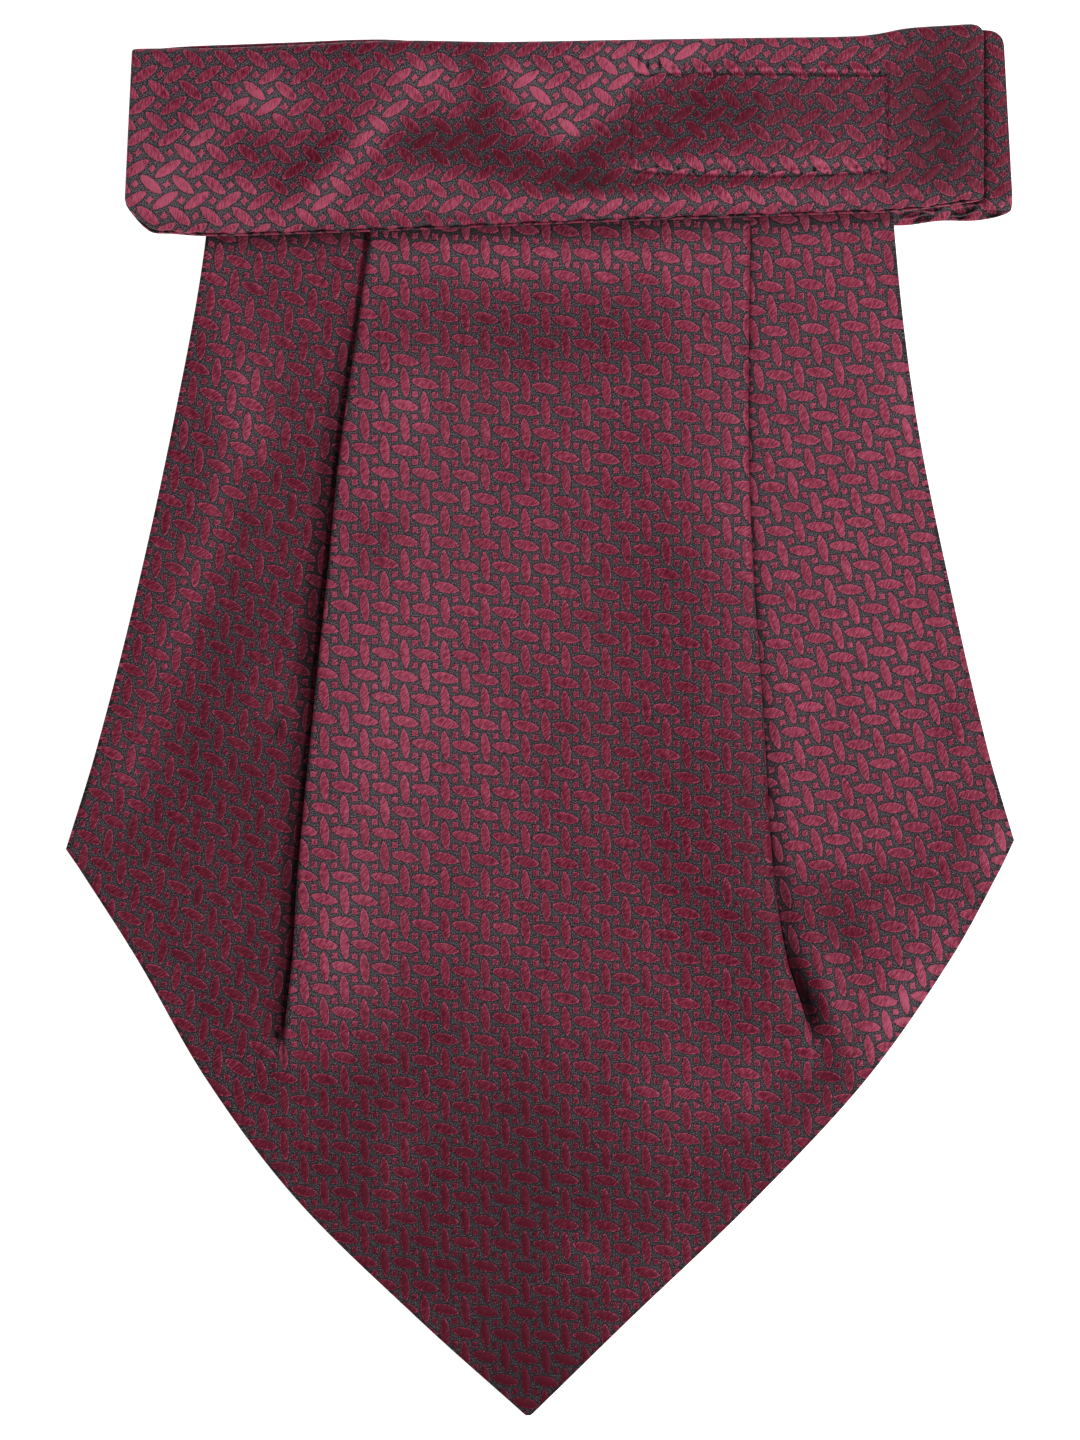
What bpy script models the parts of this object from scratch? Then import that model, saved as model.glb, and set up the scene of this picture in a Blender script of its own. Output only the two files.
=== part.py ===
"""Silk cravat, folded and laid flat: a pleated blade over a plain one, and the neckband across them.

Sizes are in millimetres up to the last step, which turns them into metres. X runs across the
blade, Y from its tip up to the neckband, and the cravat lies on the plane Z = 0. The origin is
under the middle of the outline.
"""
import math

import bmesh
import bpy

MM = 0.001

# Cloth: each wall is the face and its backing pressed together
WALL = 1.0
GAP = 0.3
LEVEL = WALL + GAP
FOLD_RADIUS = LEVEL / 2
FOLD_REACH = FOLD_RADIUS + WALL / 2
ARC_STEPS = 4
ROUND_ANGLES = (math.radians(45), math.radians(90), math.radians(135))

# Blade outline: X of an edge at each Y
LEFT_EDGE = {
    "y": (108.0, 81.0, 50.6, 20.3, -5.1, -21.8),
    "x": (-54.6, -56.4, -61.8, -68.4, -74.9, -80.0),
}
RIGHT_EDGE = {
    "y": (108.0, 81.0, 50.6, 20.3, -5.1, -20.3),
    "x": (58.6, 59.9, 63.6, 69.7, 75.6, 80.0),
}
LEFT_POINT = {
    "y": (-21.8, -25.3, -40.5, -60.8, -81.0, -101.3, -116.8, -117.3),
    "x": (-80.0, -77.6, -67.9, -56.2, -41.0, -20.3, -3.0, -2.4),
}
RIGHT_POINT = {
    "y": (-20.3, -25.3, -40.5, -60.8, -81.0, -101.3, -116.8, -117.3),
    "x": (80.0, 77.6, 69.2, 54.9, 36.1, 14.9, -1.0, -1.6),
}
RIM_SHARE = 0.05

# Rows of the front blade's wall, from under the neckband to the tip
ROW_RUNS = {
    "from": (108.0, 84.0, 60.0, -16.0, -20.3, -21.8, -44.0, -70.0, -110.0, -116.8),
    "to": (84.0, 60.0, -16.0, -20.3, -21.8, -44.0, -70.0, -110.0, -116.8, -117.3),
    "rows": (2, 6, 8, 1, 1, 3, 8, 6, 2, 1),
}
CLIMB_FOOT = 60.0
CLIMB_TOP = 83.0

# Pleats: the two folds that show along the sides of the raised centre panel
PLEAT_FOLD = {
    "y": (108.0, 82.0, 46.0, 25.0, 2.0, -26.0, -41.0, -52.0, -60.0, -70.0),
    "left": (-26.6, -28.4, -33.4, -35.4, -38.0, -40.8, -41.7, -42.7, -42.8, -41.5),
    "right": (35.6, 35.4, 35.2, 36.0, 37.6, 39.8, 42.2, 45.2, 44.9, 41.5),
}
PLEAT_DEPTH = {"left": 13.0, "right": 15.0}
PLEAT_TOP = 108.0
PLEAT_SHUT = -44.0
PLEAT_END = -56.0
PLEAT_FLAT = -70.0
OPEN_ARC = 1.0
OPEN_ARC_SHARE = 0.02
PANEL_SAG = {
    "y": (108.0, 82.0, 55.0, 10.0, -40.0),
    "share": (0.0, 0.0, 0.4, 0.65, 0.92),
}
SAG_SLOPE = 18.0
SAG_MARGIN_SHARE = 0.04
SIDE_STEPS = 3
CENTRE_STEPS = 8

# Rear blade: the same outline a little smaller, flat on the table
REAR_INSET = 1.6
REAR_TOP = 82.6
REAR_TIP = -114.6
REAR_ROWS = 26
REAR_STEPS = 6

# Neckband, folded behind: one body of stacked layers
BACK_LAYERS = 3
BACK_LAYER = 1.0
BACK_HEIGHT = BACK_LAYERS * BACK_LAYER
BACK_OUTLINE = {
    "x": (-67.6, -57.0, -42.0, -26.0, -10.0, 12.0, 36.0, 60.0, 70.0, 76.6, 78.2, 79.0, 79.4, 79.7,
          79.9, 79.4, 76.8, 70.0, 60.0, 48.0, 36.0, 0.0, -36.0, -60.0, -66.6, -68.2, -68.6, -68.2),
    "y": (112.4, 113.6, 114.3, 114.8, 113.7, 113.9, 114.4, 115.9, 116.5, 116.2, 115.2, 112.0, 104.0, 95.0,
          86.2, 85.3, 84.7, 84.0, 83.4, 83.4, 83.5, 83.6, 83.5, 83.4, 84.0, 87.0, 98.0, 110.0),
}
LAYER_PROFILE = {
    "height": (0.0, 0.18, 0.5, 0.82),
    "inset": (0.5, 0.13, 0.0, 0.13),
}
LAYER_STAGGER = 0.95
STAGGER_SPAN = {"none": 44.0, "full": 66.0, "foot": 84.0, "head": 96.0}
LAYER_WANDER = 0.2
WANDER_TURNS = (9, 7, 11)

# Neckband, front stretch: the two ends of each cross-section and how thick it is there
BAND_SECTIONS = {
    "row": tuple(range(17)),
    "top_x": (-68.8, -68.4, -66.4, -62.0, -55.0, -42.0, -23.6, -6.8, 12.0, 30.7, 49.5, 56.0, 62.0,
              69.0, 73.0, 74.4, 74.8),
    "top_y": (112.7, 113.1, 113.2, 113.2, 113.2, 113.7, 114.4, 114.2, 114.5, 114.8, 115.1, 115.5, 116.6,
              117.1, 117.3, 116.6, 115.6),
    "foot_x": (-70.0, -69.3, -65.9, -62.0, -55.0, -42.0, -23.6, -6.8, 12.0, 30.7, 49.5, 56.0, 62.0,
               69.0, 73.0, 74.4, 74.8),
    "foot_y": (87.8, 86.0, 82.4, 81.9, 81.5, 81.8, 82.4, 83.1, 83.9, 84.5, 85.2, 85.4, 85.8,
               86.7, 87.3, 87.7, 88.6),
    "thickness": (0.4, 0.8, 1.0, 1.0, 1.0, 1.0, 1.0, 1.0, 1.0, 1.0, 1.0, 1.0, 1.0, 1.0, 1.0, 0.8, 0.4),
}
BAND_STATIONS = 32
BAND_FOLD = 0.9
BAND_SETBACK = 0.4
BAND_CROWN = 0.35
CROWN_SHARES = (0.2, 0.5, 0.8)
BAND_REST = {
    "x": (-70.0, -56.6, -30.5, 37.2, 60.6, 74.8),
    "z": (3.4, 4.75, 7.3, 7.3, 4.75, 3.4),
}

# Finish
MAROON = (0.26, 0.035, 0.075, 1.0)
SILK_ROUGHNESS = 0.45
SHARP_ANGLE = math.radians(50)


def clamp(value, low=0.0, high=1.0):
    return max(low, min(high, value))


def ease(start, end, at):
    """0 at start and 1 at end, with a soft beginning and a soft end."""
    part = clamp((at - start) / (end - start))
    return part * part * (3 - 2 * part)


def mix(first, second, part):
    return first + (second - first) * part


def find_span(keys, at):
    """Index of the pair of rows around a value, and how far between them it lies."""
    rising = keys[-1] > keys[0]
    for i in range(len(keys) - 1):
        inside = at <= keys[i + 1] if rising else at >= keys[i + 1]
        if inside:
            break
    return i, clamp((at - keys[i]) / (keys[i + 1] - keys[i]))


def on_lines(table, key, column, at):
    """A column's value on straight lines between the table's rows."""
    i, part = find_span(table[key], at)
    return mix(table[column][i], table[column][i + 1], part)


def on_curve(table, key, column, at):
    """A column's value on one smooth curve through the table's rows."""
    keys = table[key]
    values = table[column]
    i, part = find_span(keys, at)
    span = keys[i + 1] - keys[i]
    slopes = []
    for row in (i, i + 1):
        before = max(row - 1, 0)
        after = min(row + 1, len(keys) - 1)
        slopes.append((values[after] - values[before]) / (keys[after] - keys[before]))
    leaving = part * (1 - part) ** 2 * span * slopes[0]
    arriving = part ** 2 * (1 - part) * span * slopes[1]
    return mix(values[i], values[i + 1], ease(0, 1, part)) + leaving - arriving


def blade_edges(y):
    """X of the left and the right edge of the front blade."""
    left = LEFT_EDGE if y > LEFT_EDGE["y"][-1] else LEFT_POINT
    right = RIGHT_EDGE if y > RIGHT_EDGE["y"][-1] else RIGHT_POINT
    return on_curve(left, "y", "x", y), on_curve(right, "y", "x", y)


def blade_rows():
    """Y of each row of the front blade's wall."""
    rows = [ROW_RUNS["from"][0]]
    for start, end, count in zip(ROW_RUNS["from"], ROW_RUNS["to"], ROW_RUNS["rows"]):
        rows += [mix(start, end, (i + 1) / count) for i in range(count)]
    return rows


def front_height(y):
    """Height of the front blade's lowest layer, which climbs onto the folded neckband."""
    on_rear = WALL + GAP + WALL / 2
    on_band = BACK_HEIGHT + GAP + WALL / 2
    return mix(on_rear, on_band, ease(CLIMB_FOOT, CLIMB_TOP, y))


def pleat_depth(y, side):
    """How far the cloth runs back under the centre panel."""
    return PLEAT_DEPTH[side] * clamp((y - PLEAT_SHUT) / (PLEAT_TOP - PLEAT_SHUT))


def pleat_section(y, side):
    """Middle of the wall across one pleat, from the side panel up to the centre panel.

    Each point is its place across the pleat, its height and the cloth's direction. The cloth
    turns back over itself, runs outwards for the pleat's depth and turns in again. Below the
    pleat's end both turns open until the cloth is flat.
    """
    left, right = blade_edges(y)
    turn = math.pi * (1 - ease(PLEAT_SHUT, PLEAT_FLAT, y))
    arc = max(FOLD_RADIUS * turn, min(OPEN_ARC, OPEN_ARC_SHARE * (right - left)))
    step = turn / ARC_STEPS
    chord = arc / ARC_STEPS * (math.sin(step / 2) / (step / 2) if step > 0 else 1)
    directions = [step * i for i in range(ARC_STEPS + 1)]
    run = max(pleat_depth(y, side), chord)
    x = 0.0
    z = 0.0
    points = []
    for bend in (directions, directions[::-1]):
        for i, direction in enumerate(bend):
            points.append((x, z, direction))
            if i < ARC_STEPS:
                middle = (direction + bend[i + 1]) / 2
                x += chord * math.cos(middle)
                z += chord * math.sin(middle)
        if bend is directions:
            x += run * math.cos(turn)
            z += run * math.sin(turn)
    return [(px - x / 2, pz, direction) for px, pz, direction in points]


def pleat_middle(y, side):
    """X of the middle of a pleat, whose outer fold lies on the line that shows."""
    row = max(y, PLEAT_FLAT)
    reach = pleat_depth(row, side) / 2 + FOLD_REACH * ease(PLEAT_END, PLEAT_SHUT, row)
    fold = on_curve(PLEAT_FOLD, "y", side, row)
    middle = fold + reach if side == "left" else fold - reach
    if y >= PLEAT_FLAT:
        return middle
    end_left, end_right = blade_edges(PLEAT_FLAT)
    left, right = blade_edges(y)
    return mix(left, right, (middle - end_left) / (end_right - end_left))


def inner_points(start, end, steps):
    """Points of level cloth between two points of a path, both left out."""
    return [(mix(start[0], end[0], i / steps), mix(start[1], end[1], i / steps), 0.0) for i in range(1, steps)]


def centre_panel(y, rising, falling):
    """Points between the two pleats, sunk between the hidden folds that carry the panel's sides."""
    start = max(rising[0][0], rising[-1][0])
    end = min(falling[0][0], falling[-1][0])
    reach = min(FOLD_REACH, SAG_MARGIN_SHARE * (end - start))
    left = (start + reach, rising[-1][1])
    right = (end - reach, falling[0][1])
    share = on_curve(PANEL_SAG, "y", "share", y)
    base = front_height(y)
    points = []
    for x, z, direction in [(*left, 0.0)] + inner_points(left, right, CENTRE_STEPS) + [(*right, 0.0)]:
        sunk = share * ease(0, SAG_SLOPE, x - left[0]) * ease(0, SAG_SLOPE, right[0] - x)
        points.append((x, mix(z, base, sunk), direction))
    return points


def front_section(y):
    """Middle of the front blade's wall along one row, and the reach of its rounded edges."""
    left, right = blade_edges(y)
    rim = min(WALL / 2, RIM_SHARE * (right - left))
    base = front_height(y)
    rising = [(pleat_middle(y, "left") + x, base + z, a) for x, z, a in pleat_section(y, "left")]
    falling = [(pleat_middle(y, "right") - x, base + z, -a) for x, z, a in pleat_section(y, "right")]
    falling.reverse()
    first = (left + rim, base, 0.0)
    last = (right - rim, base, 0.0)
    path = [first] + inner_points(first, rising[0], SIDE_STEPS) + rising + centre_panel(y, rising, falling)
    path += falling + inner_points(falling[-1], last, SIDE_STEPS) + [last]
    return path, rim


def rear_section(y):
    """Middle of the rear blade's wall along one row, flat on the table."""
    left, right = blade_edges(y)
    rim = WALL / 2
    first = (left + REAR_INSET + rim, WALL / 2, 0.0)
    last = (right - REAR_INSET - rim, WALL / 2, 0.0)
    return [first] + inner_points(first, last, REAR_STEPS) + [last], rim


def wall_loop(y, path, rim):
    """Closed outline of the wall around the middle of a section, with round edges."""
    half = WALL / 2
    upper = [(x - half * math.sin(a), y, z + half * math.cos(a)) for x, z, a in path]
    lower = [(x + half * math.sin(a), y, z - half * math.cos(a)) for x, z, a in path]
    first = path[0]
    last = path[-1]
    right_end = [(last[0] + rim * math.sin(a), y, last[1] + half * math.cos(a)) for a in ROUND_ANGLES]
    left_end = [(first[0] - rim * math.sin(a), y, first[1] - half * math.cos(a)) for a in ROUND_ANGLES]
    return upper + right_end + lower[::-1] + left_end


def back_outline():
    """Outline of the folded neckband, with the way along it from 0 to 1."""
    points = list(zip(BACK_OUTLINE["x"], BACK_OUTLINE["y"]))
    lengths = [math.dist(points[i - 1], points[i]) for i in range(len(points))]
    way = 0.0
    outline = []
    for point, length in zip(points, lengths):
        outline.append((point[0], point[1], way / sum(lengths)))
        way += length
    return outline


def back_ring(layer, height, inset):
    """Outline of one layer at one height, moved in, set back and waved along its edge."""
    outline = back_outline()
    ring = []
    for i, (x, y, way) in enumerate(outline):
        before = outline[i - 1]
        after = outline[(i + 1) % len(outline)]
        along = (after[0] - before[0], after[1] - before[1])
        length = math.hypot(*along)
        wander = LAYER_WANDER * (1 + math.sin(2 * math.pi * WANDER_TURNS[layer] * way + layer))
        move = inset + wander
        at_right = ease(STAGGER_SPAN["none"], STAGGER_SPAN["full"], x)
        at_foot = ease(STAGGER_SPAN["head"], STAGGER_SPAN["foot"], y)
        rise = layer * LAYER_STAGGER * at_right * at_foot
        ring.append((x + move * along[1] / length, y - move * along[0] / length + rise, height))
    return ring


def back_rings():
    """Rings around the folded neckband from the table up, four for each layer and a last one."""
    rings = []
    for layer in range(BACK_LAYERS):
        for share, inset in zip(LAYER_PROFILE["height"], LAYER_PROFILE["inset"]):
            rings.append(back_ring(layer, (layer + share) * BACK_LAYER, inset))
    rings.append(back_ring(BACK_LAYERS - 1, BACK_HEIGHT, LAYER_PROFILE["inset"][0]))
    return rings


def band_profile(width):
    """Cross-section of the front stretch: way from its foot and height, from the foot's underside.

    The cloth is doubled, and the layer on top is set back a little at the foot.
    """
    round_off = BAND_FOLD / 2
    corner = round_off * (1 - math.sqrt(0.5))
    full = 2 * BAND_FOLD
    top_corner = BAND_FOLD * (1 - math.sqrt(0.5))
    foot = [
        (round_off, 0.0),
        (corner, corner),
        (0.0, round_off),
        (corner, BAND_FOLD - corner),
        (BAND_SETBACK + corner, BAND_FOLD + corner / 2),
        (BAND_SETBACK, BAND_FOLD + round_off),
        (BAND_SETBACK + corner, full - corner),
        (BAND_SETBACK + round_off, full),
    ]
    crown = [(width * share, full + BAND_CROWN * math.sin(math.pi * share)) for share in CROWN_SHARES]
    head = [
        (width - BAND_FOLD, full),
        (width - top_corner, full - top_corner),
        (width, BAND_FOLD),
        (width - top_corner, top_corner),
        (width - BAND_FOLD, 0.0),
    ]
    return foot + crown + head


def band_loop(row):
    """Cross-section of the front stretch in its place over what it lies on."""
    top = [on_curve(BAND_SECTIONS, "row", column, row) for column in ("top_x", "top_y")]
    foot = [on_curve(BAND_SECTIONS, "row", column, row) for column in ("foot_x", "foot_y")]
    thickness = on_lines(BAND_SECTIONS, "row", "thickness", row)
    width = math.dist(top, foot)
    loop = []
    for way, height in band_profile(width):
        x = mix(foot[0], top[0], way / width)
        y = mix(foot[1], top[1], way / width)
        z = on_lines(BAND_REST, "x", "z", x) + BAND_FOLD + (height - BAND_FOLD) * thickness
        loop.append((x, y, z))
    return loop


def silk(name):
    """Material of one piece."""
    material = bpy.data.materials.new(name)
    material.use_nodes = True
    surface = material.node_tree.nodes["Principled BSDF"]
    surface.inputs["Base Color"].default_value = MAROON
    surface.inputs["Roughness"].default_value = SILK_ROUGHNESS
    surface.inputs["Metallic"].default_value = 0.0
    return material


def make_piece(name, loops):
    """One closed body through a list of loops with the same number of points, capped at both ends."""
    shape = bmesh.new()
    rings = [[shape.verts.new([value * MM for value in point]) for point in loop] for loop in loops]
    for ring, following in zip(rings, rings[1:]):
        for i in range(len(ring)):
            shape.faces.new((ring[i - 1], ring[i], following[i], following[i - 1]))
    shape.faces.new(rings[0])
    shape.faces.new(rings[-1])
    bmesh.ops.recalc_face_normals(shape, faces=shape.faces)
    mesh = bpy.data.meshes.new(name)
    shape.to_mesh(mesh)
    shape.free()
    mesh.shade_smooth()
    mesh.set_sharp_from_angle(angle=SHARP_ANGLE)
    mesh.materials.append(silk(name))
    piece = bpy.data.objects.new(name, mesh)
    bpy.context.scene.collection.objects.link(piece)
    return piece


def make_front_blade():
    return make_piece("front_blade", [wall_loop(y, *front_section(y)) for y in blade_rows()])


def make_rear_blade():
    rows = [mix(REAR_TOP, REAR_TIP, i / REAR_ROWS) for i in range(REAR_ROWS + 1)]
    return make_piece("rear_blade", [wall_loop(y, *rear_section(y)) for y in rows])


def make_neckband_back():
    return make_piece("neckband_back", back_rings())


def make_neckband_front():
    last = BAND_SECTIONS["row"][-1]
    return make_piece("neckband_front", [band_loop(last * i / BAND_STATIONS) for i in range(BAND_STATIONS + 1)])


def main():
    for old in list(bpy.data.objects):
        bpy.data.objects.remove(old)
    make_rear_blade()
    make_front_blade()
    make_neckband_back()
    make_neckband_front()


main()
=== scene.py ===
"""Silk cravat, folded flat: woven cloth, creases, sewing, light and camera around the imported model.

Sizes are in millimetres up to make_cloth and make_stitches, which turn them into metres. X runs
across the blade, Y from its tip up to the neckband, and the cravat lies on the plane Z = 0.
"""
import math

import bmesh
import bpy
import numpy as np
from mathutils import Matrix, Vector
from mathutils.bvhtree import BVHTree

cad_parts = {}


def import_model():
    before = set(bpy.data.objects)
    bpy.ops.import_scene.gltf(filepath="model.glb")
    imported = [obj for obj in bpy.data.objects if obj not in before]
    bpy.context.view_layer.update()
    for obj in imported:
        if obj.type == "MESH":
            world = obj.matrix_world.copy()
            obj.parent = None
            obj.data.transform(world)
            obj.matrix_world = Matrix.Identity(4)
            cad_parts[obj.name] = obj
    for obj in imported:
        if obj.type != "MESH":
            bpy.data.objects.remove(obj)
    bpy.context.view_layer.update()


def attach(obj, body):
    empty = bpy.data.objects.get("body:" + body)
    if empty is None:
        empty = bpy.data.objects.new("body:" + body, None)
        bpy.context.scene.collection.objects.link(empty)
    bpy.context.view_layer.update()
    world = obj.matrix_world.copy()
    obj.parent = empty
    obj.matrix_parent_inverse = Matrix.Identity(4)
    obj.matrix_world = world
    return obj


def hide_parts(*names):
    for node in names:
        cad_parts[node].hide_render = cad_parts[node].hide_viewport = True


MM = 0.001

# Cloth of the blades: how far each face of the wall is from its middle
FACE = 0.5
UNDERSIDE = 0.4
WALL = 1.0
GAP = 0.3
LEVEL = WALL + GAP
FOLD_RADIUS = LEVEL / 2
FOLD_REACH = FOLD_RADIUS + FACE
ARC_STEPS = 6
RUN_STEPS = 6
ROUND_ANGLES = [math.radians(angle) for angle in (30, 60, 90, 120, 150)]
MIRROR = {"left": 1, "right": -1}

# Columns of a section: X, height, direction, the cloth's own X and Y, and 1 on a side panel
X = 0
HEIGHT = 1
DIRECTION = 2
CLOTH = slice(3, 5)
ON_SIDE = 5

# Blade outline: X of an edge at each Y
LEFT_EDGE = {
    "y": (108.0, 81.0, 50.6, 20.3, -5.1, -21.8),
    "x": (-54.6, -56.4, -61.8, -68.4, -74.9, -80.0),
}
RIGHT_EDGE = {
    "y": (108.0, 81.0, 50.6, 20.3, -5.1, -20.3),
    "x": (58.6, 59.9, 63.6, 69.7, 75.6, 80.0),
}
LEFT_POINT = {
    "y": (-21.8, -25.3, -40.5, -60.8, -81.0, -101.3, -116.8, -117.3),
    "x": (-80.0, -77.6, -67.9, -56.2, -41.0, -20.3, -3.0, -2.4),
}
RIGHT_POINT = {
    "y": (-20.3, -25.3, -40.5, -60.8, -81.0, -101.3, -116.8, -117.3),
    "x": (80.0, 77.6, 69.2, 54.9, 36.1, 14.9, -1.0, -1.6),
}
RIM_SHARE = 0.05
ROW_SPACING = 1.05
BLADE_TOP = 108.0
BLADE_TIP = -117.3
CORNER_ROWS = (-20.3, -21.8, -116.8)
CLIMB_FOOT = 60.0
CLIMB_TOP = 83.0

# Pleats: the two folds that show along the sides of the raised centre panel
PLEAT_FOLD = {
    "y": (108.0, 82.0, 46.0, 25.0, 2.0, -26.0, -41.0, -52.0, -60.0, -70.0),
    "left": (-26.9, -28.7, -33.7, -35.8, -38.2, -40.9, -41.8, -42.7, -42.8, -41.5),
    "right": (35.6, 35.4, 35.2, 36.0, 37.6, 39.4, 41.8, 44.8, 44.7, 41.5),
}
PLEAT_DEPTH = {"left": 13.0, "right": 15.0}
PLEAT_TOP = 108.0
PLEAT_SHUT = -44.0
PLEAT_END = -56.0
PLEAT_FLAT = -64.0
OPEN_ARC = 1.0
OPEN_ARC_SHARE = 0.02
PANEL_SAG = {
    "y": (108.0, 82.0, 55.0, 10.0, -40.0),
    "share": (0.0, 0.0, 0.4, 0.65, 0.92),
}
SAG_SLOPE = 18.0
SAG_MARGIN_SHARE = 0.04
OPEN_STEPS = 24
HIDDEN_STEPS = 6
SIDE_STEPS = OPEN_STEPS + HIDDEN_STEPS
HIDDEN_SHARE = 0.12
FOLD_INSIDE = 0.3
CENTRE_STEPS = 56

# How the side panels turn about the pleats' ends when the pleats are laid open: degrees at each Y
PLEAT_PIVOT = {"left": (-43.0, -54.0), "right": (46.4, -53.0)}
PLEAT_TURN = {
    "y": (110.0, 70.0, 40.0, 10.0, -20.0, -54.0),
    "left": (10.0, 11.4, 11.3, 12.9, 14.8, 15.0),
    "right": (-4.9, -5.5, -7.9, -10.5, -11.1, -7.0),
}
PLEAT_SLIP = {"left": 1.1, "right": -0.9}
SLIP_REACH = 30.0
TURN_FADE = (math.radians(8), math.radians(90))
TURN_STEPS = 40

# Rear blade
REAR_INSET = 1.6
REAR_TOP = 82.6
REAR_TIP = -114.6
REAR_STEPS = 70
REAR_SPACING = 2.0
REAR_THICKNESS = 0.9

# Weave: one repeat is CELL wide and high, with its lattice on each piece
CELL = (6.79, 7.62)
BLADE_LATTICE = {"origin": (-15.97, 48.98), "right": (6.785, -0.27), "up": (0.0, 7.612)}
BAND_LATTICE = {"origin": (-48.1, 105.95), "right": (5.825, 5.225), "up": (-4.875, 5.375)}
FOLD_LATTICE = {"origin": (76.63, 107.5), "right": (5.6, 5.2), "up": (-4.9, 5.1)}
BAND_LIFT = {
    "x": (-40.0, 20.0, 53.0, 64.0, 70.0, 76.0),
    "lift": (0.0, -0.3, -0.5, 0.6, 1.5, 2.0),
}
TALL_LENS = {"half_length": 2.5, "half_width": 0.76, "tilt": math.radians(6)}
FLAT_LENS = {"half_length": 2.3, "half_width": 0.88, "tilt": math.radians(11)}
LENS_SIDE_POWER = 1.5
SQUARE_REACH = 0.76
SQUARE_POWER = 0.8

# Neckband, front stretch: the two ends of each cross-section and how thick it is there
BAND_SECTIONS = {
    "row": tuple(range(17)),
    "top_x": (-68.8, -68.4, -66.4, -62.0, -55.0, -42.0, -23.6, -6.8, 12.0, 30.7, 49.5, 56.0, 62.0,
              69.0, 73.0, 74.4, 74.8),
    "top_y": (112.7, 113.1, 113.2, 113.2, 113.2, 113.7, 114.4, 114.2, 114.5, 114.8, 115.1, 115.5, 116.6,
              117.1, 117.3, 116.6, 115.6),
    "foot_x": (-70.0, -69.3, -65.9, -62.0, -55.0, -42.0, -23.6, -6.8, 12.0, 30.7, 49.5, 56.0, 62.0,
               69.0, 73.0, 74.4, 74.8),
    "foot_y": (87.8, 86.0, 82.4, 81.9, 81.5, 81.8, 82.4, 83.1, 83.9, 84.5, 85.2, 85.4, 85.8,
               86.7, 87.3, 87.7, 88.6),
    "thickness": (0.4, 0.8, 1.0, 1.0, 1.0, 1.0, 1.0, 1.0, 1.0, 1.0, 1.0, 1.0, 1.0, 1.0, 1.0, 0.8, 0.4),
}
BAND_FOLD = 0.9
BAND_SETBACK = 0.5
SETBACK_WAVES = {"length": (9.0, 4.3, 2.3), "height": (0.12, 0.1, 0.06)}
BAND_NOTCH = 0.5
CREVICE_ANGLES = {"lower": 95, "upper": 255}
TOP_FROM = 0.4
BAND_CROWN = 0.35
BAND_INNER = {"foot": 1.9, "head": 0.8, "share": 0.15}
BAND_REST = {
    "x": (-70.0, -56.6, -30.5, 37.2, 60.6, 74.8),
    "z": (3.4, 4.75, 7.3, 7.3, 4.75, 3.4),
}
BAND_SPACING = 0.8
SEWN_SPACING = {"from": 14.0, "to": 60.0, "spacing": 0.24}
FACE_SPANS = {
    "share": (0.0, 0.17, 0.29, 0.73, 0.84),
    "steps": (9, 18, 22, 16, 9),
}
TUBE_STEPS = 7

# Neckband, the stretches folded behind, from the table up
STRETCHES = 3
STRETCH_HEIGHT = 0.98
STRETCH_SECTIONS = {
    "row": tuple(range(17)),
    "top_x": (-68.4, -68.0, -66.6, -60.0, -50.0, -42.0, -26.0, -10.0, 12.0, 36.0, 56.0, 64.0, 70.0,
              75.0, 76.9, 78.0, 78.3),
    "top_y": (109.0, 111.6, 112.9, 113.6, 114.0, 114.3, 114.8, 113.7, 113.9, 114.4, 115.5, 116.1, 116.4,
              116.4, 116.0, 114.9, 113.6),
    "foot_x": (-68.4, -68.0, -66.6, -60.0, -50.0, -42.0, -26.0, -10.0, 12.0, 36.0, 56.0, 64.0, 70.0,
               75.0, 77.6, 79.3, 79.7),
    "foot_y": (88.0, 85.4, 84.1, 83.6, 83.5, 83.5, 83.5, 83.6, 83.6, 83.5, 83.4, 83.5, 83.9,
               84.4, 84.7, 85.3, 86.3),
    "thickness": (0.4, 0.8, 1.0, 1.0, 1.0, 1.0, 1.0, 1.0, 1.0, 1.0, 1.0, 1.0, 1.0, 1.0, 1.0, 0.85, 0.5),
}
STRETCH_SPACING = 1.0
STRETCH_FACE_STEPS = 22
STRETCH_INNER = {"foot": 0.42, "head": 0.42, "share": 0.15}
STAGGER = 0.9
STAGGER_FROM = 44.0
STAGGER_TO = 66.0
EDGE_WAVES = {
    "length": (13.0, 9.5, 11.0),
    "phase": (0.4, 2.1, 4.0),
    "height": (0.25, 0.34, 0.34),
}

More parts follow.
